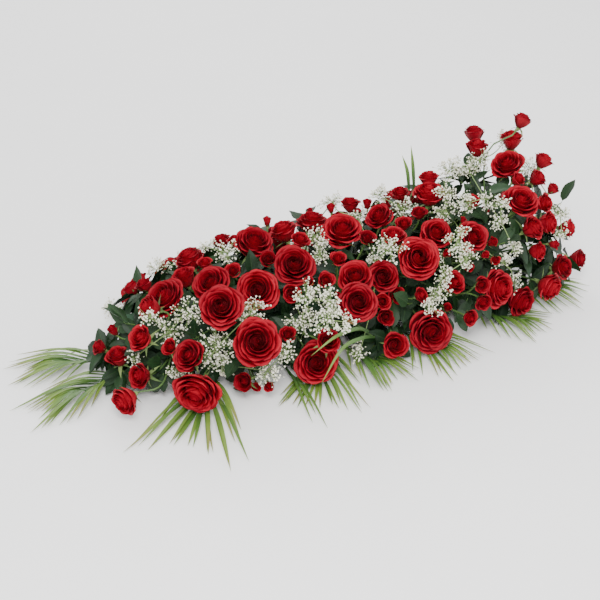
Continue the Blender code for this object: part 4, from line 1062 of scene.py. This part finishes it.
def add_petals(growth, bloom, draw):
    """The petals of a bloom: a tight spiral in the middle, then cups whose lips roll further out."""
    wide = bloom.diameter
    petals, long, across = next(row[1:] for row in ROSE_SIZES if wide >= row[0])
    kind = next(row[1:] for row in ROSE_KINDS if wide < row[0])
    noise = np.random.default_rng(draw.randrange(10**6))
    open_out = draw.uniform(0.85, 1.10) * kind[0]
    settings = petal_settings(petals, kind, open_out, noise, draw)
    t, angle, reach, lip_height, lean, roll, lip, half, point = settings
    v = np.linspace(0, 1, long)[None, :, None] ** 0.85
    u = np.linspace(-1, 1, across)[None, None]
    # The cup, from its base over a knee to its lip
    ve = v * (1 - 0.26 * np.abs(u) ** 2.2) * (1 + 0.32 * point * np.exp(-((u / 0.22) ** 2)))
    s = np.clip(ve / LIP_FROM, 0, 1)
    base_r, base_z = 0.03 + 0.05 * t, BLOOM_BASE
    knee_z = base_z + 0.30 * (lip_height - base_z)
    knee_r = reach - lean * (lip_height - knee_z)
    r = (1 - s) ** 2 * base_r + 2 * (1 - s) * s * knee_r + s**2 * reach
    z = (1 - s) ** 2 * base_z + 2 * (1 - s) * s * knee_z + s**2 * lip_height
    # The lip, rolled back
    start = np.arctan(lean)
    turned = start + roll * np.clip((ve - LIP_FROM) / (1 - LIP_FROM), 0, 1.3)
    r = r + lip / roll * (np.cos(start) - np.cos(turned))
    z = z + lip / roll * (np.sin(turned) - np.sin(start))
    # Its waves, and a point pushed out at its tip
    spread = half * (0.40 + 0.60 * np.sin(math.pi / 2 * np.clip(ve / 0.62, 0, 1)))
    phase = noise.uniform(0, 6.3, (3, petals, 1, 1))
    r = r * (1 + (0.20 - 0.15 * t) * u) + 0.011 * np.sin(2.8 * u + phase[0]) * v**2 * (0.4 + t)
    r = r + 0.010 * np.sin(phase[1]) * v**2 + 0.006 * np.sin(7.0 * u + phase[2]) * v**6
    r = r + 0.024 * point * np.exp(-((u / 0.36) ** 2)) * v**3
    z = z + (0.013 * np.sin(3.2 * u + phase[2]) + 0.010 * np.sin(phase[1] * 2)) * v**2
    theta = angle + u * spread
    grids = np.stack((r * np.cos(theta), r * np.sin(theta), z), axis=-1) * wide
    to_axis = np.array(bloom.axis.to_track_quat("Z", "Y").to_matrix())
    grids = grids @ to_axis.T + np.array(bloom.place)
    own = 0.6 * draw.random() + 0.4 * noise.uniform(0, 1, petals)
    growth.add_grids(grids, np.stack((own, t[:, 0, 0]), axis=1), "petal")
    heights = np.array(HEART_HEIGHTS) + kind[3]
    heart = np.array([tuple(bloom.place + bloom.axis * (h * wide)) for h in heights])
    add_tube(growth, heart, np.array(HEART_RADII) * wide, 8, (0.5, 0.0), "petal")


def add_sepals(growth, bloom, draw):
    """The green hip under a bloom and the five sepals that spread from it."""
    wide = bloom.diameter
    base = bloom.base()
    axis = bloom.axis
    hip = np.array([tuple(base + axis * (wide * h)) for h in HIP_HEIGHTS])
    radii = np.array(HIP_RADII) * min(wide, HIP_WIDEST)
    radii[0] = BRANCH_RADIUS * 0.8
    add_tube(growth, hip, radii, 8, (draw.random(), 0.5), "sepal")
    aside, over = axes_along(axis)
    down = -0.2 if wide < SMALL_FROM else draw.uniform(0.0, 0.8)
    first = draw.uniform(0, 6.3)
    for i in range(5):
        angle = first + i * FIFTH_TURN
        out = aside * math.cos(angle) + over * math.sin(angle)
        way = (out + axis * (0.5 - down * 1.1)).normalized()
        root = base + out * (0.05 * min(wide, 0.06)) + axis * (0.02 * wide)
        length = min(wide, SEPAL_WIDEST) * draw.uniform(0.42, 0.55)
        grid = leaf_grid(root, way, axis, length, length * 0.34, 6, 3, sepal_shape,
                         down + 0.2, 0.3, 0.1, draw)
        growth.add_grids(grid[None], [(draw.random(), 0.5)], "sepal")


def add_leaf(growth, root, way, up, length, width, draw, bend):
    """A leaf with a short stalk."""
    stalk = length * 0.12
    path = smooth_path((root, root + way * stalk), 3)
    add_tube(growth, path, (0.0007, 0.0006, 0.0006), 4, (0.5, 0.5), "stem")
    grid = leaf_grid(root + way * (stalk * 0.9), way, up, length, width, 9, 7, broad, bend, 0.28, 0.10, draw)
    growth.add_grids(grid[None], [(draw.random(), draw.random())], "leaf")


def fit_leaf(room, root, ways, length, width):
    """The first direction in which a leaf has room, with the side of it that faces up."""
    for way, up in ways:
        side = way.cross(up).normalized()
        points = np.array([tuple(root + way * (length * a) + side * (width * b * math.sin(math.pi * a**0.8)))
                           for a in (0.15, 0.35, 0.6, 0.85, 1.0) for b in (-0.45, 0.0, 0.45)])
        clear_of_balls = gaps_to(points, room.centres, room.reaches).min() > -LEAF_INTO_BALL
        clear_of_foam = out_of_foam(points).min() > LEAF_OFF_FOAM
        if clear_of_balls and clear_of_foam and points[:, 2].min() > LEAF_OFF_TABLE:
            return way, up
    return None


def under_layers(x, angle):
    """How deep in the mound the layers of leaves at a place are, and how much larger its leaves grow."""
    low_front = angle < LOW_LEAVES_TO and x > LOW_LEAVES_FROM
    if x > HEAD_LEAVES_FROM or angle > BACK_LEAVES_FROM or low_front:
        return DENSE_LAYERS, DENSE_GROWTH
    return (TAIL_LAYERS if x < TAIL_LEAVES_TO else UNDER_LAYERS), 1.0


def add_under_leaves(growths, room, plans, draw):
    """Rose leaves between and below the blooms, each from the nearest stem."""
    stems = []
    for name, (_, mouth, top, blooms) in plans.items():
        ways = [(mouth, top)] + [pair for _, path in blooms for pair in zip(path, path[1:])]
        for first, second in ways:
            stems += [(name, tuple(first.lerp(second, s / 6))) for s in range(7)]
    places = np.array([p for _, p in stems])
    x = MOUND_TAIL + UNDER_FROM_TAIL
    while x < MOUND_HEAD - UNDER_FROM_HEAD:
        for angle in UNDER_ANGLES:
            layers, larger = under_layers(x, angle)
            for shrink in layers:
                spot = on_mound(x + draw.uniform(-0.018, 0.018), angle + draw.uniform(-7, 7),
                                shrink + draw.uniform(-0.05, 0.05))
                normal = mound_normal(spot)
                length = draw.uniform(0.036, 0.054) * larger
                width = length * draw.uniform(0.46, 0.60)
                near = np.linalg.norm(places - np.array(spot), axis=1)
                nearest = int(near.argmin())
                if near[nearest] > LEAF_REACH:
                    continue
                root = Vector(places[nearest])
                out = (spot - root).normalized() if (spot - root).length > 0.004 else normal
                ways = []
                for _ in range(LEAF_TRIALS):
                    loose = Vector([draw.uniform(-1, 1) for _ in range(3)])
                    way = (out * 1.2 + loose * 0.8 + normal * 0.2).normalized()
                    ways.append((way, (normal * 1.5 + loose * 0.3 + Vector((0, 0, 0.4))).normalized()))
                fit = fit_leaf(room, root + out * 0.004, ways, length, width)
                if fit:
                    bend = draw.uniform(0.1, 0.7)
                    add_leaf(growths[stems[nearest][0]], root, *fit, length, width, draw, bend)
        x += UNDER_SPACING


def build_roses(plans, room):
    """Each bunch's petals, and then its stems, hips and leaves."""
    draw = random.Random(ROSE_SEED)
    greens = {}
    for name, (foot, mouth, top, blooms) in plans.items():
        petals = Growth("petal")
        green = greens[name] = Growth("stem", "sepal", "leaf")
        add_stem(green, (foot, mouth, top), 8, STEM_RADIUS, 7, (0.3, 0.2))
        for bloom, path in blooms:
            add_petals(petals, bloom, draw)
            add_sepals(green, bloom, draw)
            whole = (*path[:-1], path[-1] - bloom.axis * (bloom.diameter * 0.04), path[-1])
            add_stem(green, whole, 12, BRANCH_RADIUS, 6, (draw.random(), 0.4), taper=0.8)
        yield petals, name, "_petals", "petal"
    add_under_leaves(greens, room, plans, draw)
    for name, green in greens.items():
        yield green, name, "_leaves", "leaf"


# Gypsophila


def floret_shape():
    """The points and faces of a floret: a ball of a few crumpled petals."""
    bm = bmesh.new()
    bmesh.ops.create_icosphere(bm, subdivisions=1, radius=1.0)
    points = np.array([tuple(v.co) for v in bm.verts])
    faces = np.array([[v.index for v in f.verts] for f in bm.faces])
    bm.free()
    return points, faces


def add_florets(growth, places, sizes, noise):
    """Florets at an array of places, each turned and crumpled its own way."""
    points, faces = floret_shape()
    count = len(places)
    turn = noise.normal(size=(count, 3, 3))
    turn, _ = np.linalg.qr(turn)
    crumple = noise.uniform(0.62, 1.12, (count, len(points), 1))
    made = (points[None] * crumple) @ turn * sizes[:, None, None] + places[:, None]
    faces = (faces[None] + (np.arange(count) * len(points))[:, None, None]).reshape(-1, 3)
    form = np.tile(np.stack((points[:, 0] * 0.5 + 0.5, points[:, 2] * 0.5 + 0.5), axis=1), (count, 1))
    tone = np.repeat(noise.uniform(0, 1, (count, 2)), len(points), axis=0)
    growth.add(made.reshape(-1, 3), faces, form, tone, "gypsophila")


def add_stalks(growth, starts, ends, radius):
    """Fine straight stalks between two arrays of points, three-sided."""
    ahead = ends - starts
    aside = unit_rows(np.cross(ahead, (0.31, 0.42, 0.85)), 1e-9)
    over = unit_rows(np.cross(ahead, aside), 1e-9)
    turn = np.linspace(0, 2 * math.pi, 4)
    ring = aside[:, None] * np.cos(turn)[None, :, None] + over[:, None] * np.sin(turn)[None, :, None]
    ring = ring * radius
    grids = np.stack((starts[:, None] + ring, ends[:, None] + ring * 0.7), axis=1)
    growth.add_grids(grids, np.full((len(starts), 2), 0.5), "twig")


def add_cloud(florets, green, cloud, blooms, noise):
    """A cloud's sprigs, each with a few florets on fine stalks, wherever there is no bloom."""
    size = cloud.diameter / 2
    middle = np.array(cloud.place)[None]
    tips = noise.normal(size=(int(SPRIGS_A_CLOUD * (size / SPRIG_CLOUD_RADIUS) ** 1.6) + 6, 3))
    tips = unit_rows(tips) * noise.uniform(0.45, 0.98, (len(tips), 1)) * size + middle
    tips = tips[(gaps_to(tips, *blooms).min(axis=1) > SPRIG_OFF_BLOOM) & (tips[:, 2] > SPRIG_OFF_TABLE)]
    add_stalks(green, np.repeat(middle, len(tips), axis=0), tips, SPRIG_RADIUS)
    spread = noise.normal(size=(len(tips), FLORETS_A_SPRIG, 3)) * FLORET_SPREAD
    outward = unit_rows(tips - middle, 1e-9)
    ends = (tips[:, None] + spread + outward[:, None] * 0.003).reshape(-1, 3)
    starts = np.repeat((tips - outward * 0.006)[:, None], FLORETS_A_SPRIG, axis=1).reshape(-1, 3)
    kept = (gaps_to(ends, *blooms).min(axis=1) > -FLORET_INTO_BLOOM) & (ends[:, 2] > FLORET_OFF_TABLE)
    ends, starts = ends[kept], starts[kept]
    add_stalks(green, starts, ends, FLORET_STALK_RADIUS)
    add_florets(florets, ends, noise.uniform(*FLORET_RADII, len(ends)), noise)


def build_gypsophila(plans, room):
    """Each spray's florets and its twigs."""
    are_blooms = np.array([b.kind == "bloom" for b in room.balls])
    blooms = room.centres[are_blooms], room.reaches[are_blooms]
    for name, (foot, fork, twigs) in plans.items():
        noise = np.random.default_rng(GYP_SEED + int(name[-1]))
        florets = Growth("gypsophila", smooth=False)
        green = Growth("twig")
        add_stem(green, (foot, fork), 4, BRANCH_RADIUS, 6, finish="twig")
        for path, cloud in twigs:
            add_stem(green, path, 9, TWIG_RADIUS, 5, finish="twig", taper=0.6)
            add_cloud(florets, green, cloud, blooms, noise)
        yield florets, name, "_florets", "gypsophila"
        yield green, name, "_twigs", "palm"


# Fronds, foliage and grass


def add_fine_leaflet(growth, root, turn, length, width, crown, draw):
    """A leaflet that arches over its crown and down to the table, creased along its middle."""
    reach = length * draw.uniform(0.84, 1.10)
    way = Vector((math.cos(turn), math.sin(turn), 0))
    middle = root + way * (reach * CROWN_AT)
    middle.z = max(crown, 0.0045) + draw.uniform(0, 0.0006)
    end = root + way * reach
    end.z = TIP_LEVEL
    line = smooth_path((root, middle, end), LEAFLET_POINTS)
    aside = np.array(way.cross(ABOVE))
    v = np.linspace(0, 1, LEAFLET_POINTS)
    curl = draw.uniform(-0.05, 0.05) * reach * v**2.2
    half = width * draw.uniform(0.31, 0.43) * slender(v)
    tilt = draw.uniform(-0.22, 0.22)
    grid = line[:, None] + aside[None, None] * (ACROSS[None] * half[:, None] + curl[:, None])[..., None]
    grid[..., 2] += (np.abs(ACROSS)[None] * 0.22 + ACROSS[None] * tilt) * half[:, None]
    grid[..., 2] = np.maximum(grid[..., 2], 0.0012)
    growth.add_grids(grid[None], [(draw.random(), draw.random())], "palm")


def build_fronds(plans):
    """Each frond: its stalk, its rib, and more leaflets than its solid has."""
    draw = random.Random(LEAF_SEED)
    settings = {row[0]: row[3:] for row in FRONDS}
    for name, (stalk, start, tip, heading, leaflets) in plans.items():
        pairs, longest, width, first, last = settings[name]
        growth = Growth("palm", "stem")
        add_stem(growth, stalk, 8, BRANCH_RADIUS, 6, (0.4, 0.4))
        add_stem(growth, (start.lerp(tip, -0.04), tip), 6, FINE_RIB_RADIUS, 6, (0.4, 0.4), taper=0.45)
        fine = pairs * FINE_LEAFLETS if pairs > 1 else 1
        for j in range(fine + 1):
            angle, length = leaflet_size(j, fine, longest, first, last)
            for side in ((-1, 1) if j < fine else (0,)):
                fitted = leaflets[min(j * pairs // fine, pairs - 1), side] if side else leaflets[pairs, 0]
                if not fitted:
                    continue
                root = start.lerp(tip, min((j + 0.5 + 0.2 * side) / fine, 1.0))
                turn = heading + side * (angle + math.radians(draw.uniform(-4.5, 4.5)))
                crown = (fitted[0].z + fitted[1].z) / 2
                add_fine_leaflet(growth, root, turn, length, width, crown, draw)
        yield growth, name, "_leaf", "palm"


def build_leafy_stems(plans):
    """Each leafy stem with its leaves."""
    draw = random.Random(LEAF_SEED + 1)
    for name, (path, leaves) in plans.items():
        growth = Growth("stem", "leaf")
        add_stem(growth, path, 14, BRANCH_RADIUS, 6, (0.4, 0.4), taper=0.5)
        for root, tip, width, flat in leaves:
            way = (tip - root).normalized()
            length = (tip - root).length
            bend = draw.uniform(0.05, 0.35)
            add_leaf(growth, root, way, flat, length * 0.90, width * 1.05, draw, bend)
        yield growth, name, "_leaves", "leaf"


def build_grass(plans):
    """Each root's stem and its blades, which face the viewer."""
    for name, (foot, fork, stalks) in plans.items():
        growth = Growth("palm", "stem")
        add_stem(growth, (foot, fork), 4, BRANCH_RADIUS, 6, (0.4, 0.4))
        for path, line in stalks:
            add_stem(growth, path, 8, TWIG_RADIUS, 5, (0.4, 0.4))
            points = smooth_path(line, BLADE_POINTS)
            aside = unit_rows(np.cross(np.gradient(points, axis=0), np.array(BACK)))
            v = np.linspace(0, 1, BLADE_POINTS)
            half = GRASS_WIDTH / 2 * np.clip((0.6 + 0.4 * np.sin(math.pi * v)) * (1 - v**4), 0.03, 1)
            grid = points[:, None] + aside[:, None] * (ACROSS[None] * half[:, None])[..., None]
            grid += np.array(BACK) * (np.abs(ACROSS)[None] * half[:, None] * 0.35)[..., None]
            growth.add_grids(grid[None], [(0.3, 0.6)], "palm")
        yield growth, name, "_blades", "palm"


# Finishes


class Finish:
    """A material while it is built, by methods that add a node and give its output."""

    def __init__(self, name, roughness):
        self.material = bpy.data.materials.new(name)
        self.material.use_nodes = True
        self.shader = self.material.node_tree.nodes["Principled BSDF"]
        self.set(self.shader, Roughness=roughness)
        self.place = self.add("TexCoord").outputs["Object"]

    def set(self, made, **values):
        """Feeds a node's inputs, by name, with numbers, colours or other nodes' outputs."""
        for name, value in values.items():
            self.feed(made.inputs[name.replace("_", " ")], value)

    def feed(self, socket, value):
        if isinstance(value, bpy.types.NodeSocket):
            self.material.node_tree.links.new(value, socket)
        elif isinstance(value, tuple):
            socket.default_value = (*value, 1.0)
        else:
            socket.default_value = value

    def add(self, kind, *values, **settings):
        """A node with these settings, whose first inputs get these values."""
        made = self.material.node_tree.nodes.new("ShaderNode" + kind)
        for key, value in settings.items():
            setattr(made, key, value)
        for socket, value in zip(made.inputs, values):
            self.feed(socket, value)
        return made

    def maths(self, operation, *values, clamp=False):
        return self.add("Math", *values, operation=operation, use_clamp=clamp).outputs[0]

    def plus(self, first, second, clamp=False):
        return self.maths("ADD", first, second, clamp=clamp)

    def minus(self, first, second, clamp=False):
        return self.maths("SUBTRACT", first, second, clamp=clamp)

    def times(self, first, second, clamp=False):
        return self.maths("MULTIPLY", first, second, clamp=clamp)

    def noise(self, source, scale, detail=3.0, rough=0.55):
        made = self.add("TexNoise", source)
        self.set(made, Scale=scale, Detail=detail, Roughness=rough)
        return made.outputs[0]

    def ramp(self, share, stops):
        made = self.add("ValToRGB", share)
        marks = made.color_ramp.elements
        while len(marks) < len(stops):
            marks.new(0.5)
        for mark, (place, colour) in zip(marks, stops):
            mark.position = place
            mark.color = (*colour, 1.0)
        return made.outputs[0]

    def mixed(self, share, first, second, blend="MIX"):
        made = self.add("Mix", data_type="RGBA", blend_type=blend)
        for socket, value in ((made.inputs[0], share), (made.inputs[6], first), (made.inputs[7], second)):
            self.feed(socket, value)
        return made.outputs[2]

    def joined(self, *parts):
        return self.add("CombineXYZ", *parts).outputs[0]

    def form_and_tone(self):
        """Across and along a petal or leaf, and its own random number."""
        form, tone = [self.add("SeparateXYZ", self.add("UVMap", uv_map=layer).outputs[0]).outputs
                      for layer in ("form", "tone")]
        return form[0], form[1], tone[0]

    def done(self, colour, height, strength, distance):
        """Paints and embosses the surface."""
        made = self.add("Bump")
        self.set(made, Strength=strength, Distance=distance, Height=height)
        self.set(self.shader, Base_Color=colour, Normal=made.outputs[0])
        return self.material


def petal_finish():
    """Velvet red: crimson that darkens towards the heel as painted shade deep inside the cup, scarlet on the
    cup, fine veins, and a darker edge.
    """
    finish = Finish("petal", 0.54)
    across, along, own = finish.form_and_tone()
    blotch = finish.noise(finish.place, 160.0, 4.0)
    shade = finish.times(finish.maths("MULTIPLY_ADD", blotch, 0.5, 0.62),
                         finish.maths("MULTIPLY_ADD", own, 0.62, 0.64))
    # The ramp along the petal darkens its heel: painted shade deep inside the cup
    colour = finish.mixed(1.0, finish.ramp(along, PETAL_REDS_AND_HEEL_SHADE), finish.joined(shade, shade, shade), "MULTIPLY")
    veins = finish.noise(finish.joined(finish.times(across, 34.0), finish.times(along, 3.0), own), 1.0, 2.0)
    grain = finish.noise(finish.place, 1500.0, 2.0)
    finish.set(finish.shader, Specular_IOR_Level=0.09, Sheen_Weight=0.05, Sheen_Roughness=0.35,
               Sheen_Tint=(1.0, 0.12, 0.16))
    return finish.done(colour, finish.plus(veins, finish.times(grain, 0.35)), 0.35, 0.0006)


def leaf_finish(name, dark, light, vein, roughness, scale):
    """A leaf: its midrib and side veins paler, its blade mottled, one leaf lighter than another."""
    finish = Finish(name, roughness)
    finish.set(finish.shader, Specular_IOR_Level=0.28)
    across, along, own = finish.form_and_tone()
    off = finish.maths("ABSOLUTE", finish.minus(across, 0.5))
    slanted = finish.minus(finish.times(along, 9.0), finish.times(off, 7.0))
    wave = finish.maths("PINGPONG", slanted, 0.5)
    side_vein = finish.minus(1.0, finish.times(wave, 9.0), clamp=True)
    midrib = finish.minus(1.0, finish.times(off, 26.0), clamp=True)
    veins = finish.maths("MAXIMUM", midrib, finish.times(side_vein, 0.45))
    mottle = finish.noise(finish.place, scale, 4.0)
    lighter = finish.minus(finish.times(own, 0.9), 0.25)
    share = finish.plus(finish.times(mottle, 0.6), lighter, clamp=True)
    colour = finish.mixed(finish.times(veins, 0.55), finish.mixed(share, dark, light), vein)
    return finish.done(colour, finish.minus(finish.times(mottle, 0.4), veins), 0.5, 0.0005)


def palm_finish():
    """A palm leaflet or blade of grass: ribs along it, yellower towards its tip."""
    finish = Finish("palm", 0.42)
    across, along, own = finish.form_and_tone()
    shift = finish.plus(along, finish.minus(finish.times(own, 0.5), 0.25), clamp=True)
    body = finish.ramp(shift, PALM_GREENS)
    streaks = finish.joined(finish.times(across, 26.0), finish.times(along, 1.2), finish.times(own, 9.0))
    lines = finish.noise(streaks, 1.0, 2.0)
    mottle = finish.noise(finish.place, 90.0, 3.0)
    total = finish.plus(finish.times(lines, 0.55), finish.times(mottle, 0.45))
    light = finish.mixed(1.0, body, (1.35, 1.30, 1.2), "MULTIPLY")
    dark = finish.mixed(1.0, body, (0.45, 0.55, 0.5), "MULTIPLY")
    return finish.done(finish.mixed(finish.times(total, 0.9, clamp=True), light, dark), lines, 0.5, 0.0005)


def plain_finish(name, low, high, roughness, scale, depth):
    """A mottled surface with a fine relief."""
    finish = Finish(name, roughness)
    mottle = finish.noise(finish.place, scale, 5.0, 0.65)
    return finish.done(finish.ramp(mottle, ((0.30, low), (0.70, high))), mottle, 0.6, depth)


def floret_finish():
    """Cream-white florets, greener in patches, and not all equally open: the less open ones are greener."""
    finish = Finish("gypsophila", 0.75)
    own = finish.form_and_tone()[2]
    crumple = finish.noise(finish.place, 900.0, 2.0)
    closed = finish.minus(finish.times(own, 0.5), 0.25)
    share = finish.plus(finish.times(crumple, 0.7), closed, clamp=True)
    return finish.done(finish.ramp(share, FLORET_WHITES), crumple, 0.4, 0.0004)


def make_finishes():
    """The materials by name. A plain one has its two colours, roughness, scale and depth of relief."""
    finishes = {
        "petal": petal_finish(),
        "sepal": leaf_finish("sepal", (0.06, 0.12, 0.03), (0.20, 0.27, 0.09), (0.27, 0.33, 0.15),
                             0.55, 220.0),
        "leaf": leaf_finish("leaf", (0.003, 0.013, 0.005), (0.014, 0.044, 0.012), (0.035, 0.080, 0.022),
                            0.52, 60.0),
        "palm": palm_finish(),
        "gypsophila": floret_finish(),
    }
    for name, *row in PLAIN_FINISHES:
        finishes[name] = plain_finish(name, *row)
    return finishes


# Floor, light and camera


def add_floor(material):
    bm = bmesh.new()
    bmesh.ops.create_grid(bm, x_segments=8, y_segments=8, size=6.0)
    mesh = bpy.data.meshes.new("floor")
    bm.to_mesh(mesh)
    bm.free()
    mesh.materials.append(material)
    floor = bpy.data.objects.new("floor", mesh)
    floor.location.z = -0.0005
    bpy.context.scene.collection.objects.link(floor)


def add_lamp(name, place, aim, size, power, colour):
    lamp = bpy.data.lights.new(name, "AREA")
    lamp.shape = "DISK"
    lamp.size = size
    lamp.energy = power
    lamp.color = colour
    obj = bpy.data.objects.new(name, lamp)
    obj.location = place
    obj.rotation_euler = (Vector(aim) - Vector(place)).to_track_quat("-Z", "Y").to_euler()
    bpy.context.scene.collection.objects.link(obj)


def light_scene():
    world = bpy.data.worlds.new("studio")
    world.use_nodes = True
    sky = world.node_tree.nodes["Background"]
    sky.inputs["Color"].default_value = (1.0, 1.0, 1.0, 1.0)
    sky.inputs["Strength"].default_value = WORLD_LIGHT
    bpy.context.scene.world = world
    for row in LAMPS:
        add_lamp(*row)


def add_camera():
    camera = bpy.data.cameras.new("camera")
    camera.sensor_width = 36.0
    camera.lens = VIEW_SCALE * VIEW_DISTANCE / PICTURE_WIDTH * camera.sensor_width
    camera.clip_end = 50.0
    obj = bpy.data.objects.new("camera", camera)
    obj.location = VIEWER
    obj.rotation_euler = BACK.to_track_quat("Z", "Y").to_euler()
    bpy.context.scene.collection.objects.link(obj)
    bpy.context.scene.camera = obj


def build_pieces():
    """Each piece's faces, the node that it stands for, the rest of its name, and a slot name, which is not
    used.
    """
    room = Room(ball_places())
    roses = plan_roses(room)
    fronds = plan_fronds(room)
    gypsophila = plan_gypsophila(room)
    leafy_stems = plan_leafy_stems(room)
    grass = plan_grass(room)
    yield from build_roses(roses, room)
    yield from build_gypsophila(gypsophila, room)
    yield from build_fronds(fronds)
    yield from build_leafy_stems(leafy_stems)
    yield from build_grass(grass)


def main():
    materials = make_finishes()
    for name in ("tray", "foam"):
        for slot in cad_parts[name].material_slots:
            slot.material = materials[name]
    spray = bpy.data.collections.new("spray_looks")
    bpy.context.scene.collection.children.link(spray)
    for growth, node, part, slot in build_pieces():
        piece = growth.piece(node + part, spray, materials)
        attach(piece, "root")
        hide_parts(node)
    add_floor(materials["floor_paint"])
    light_scene()
    add_camera()


main()
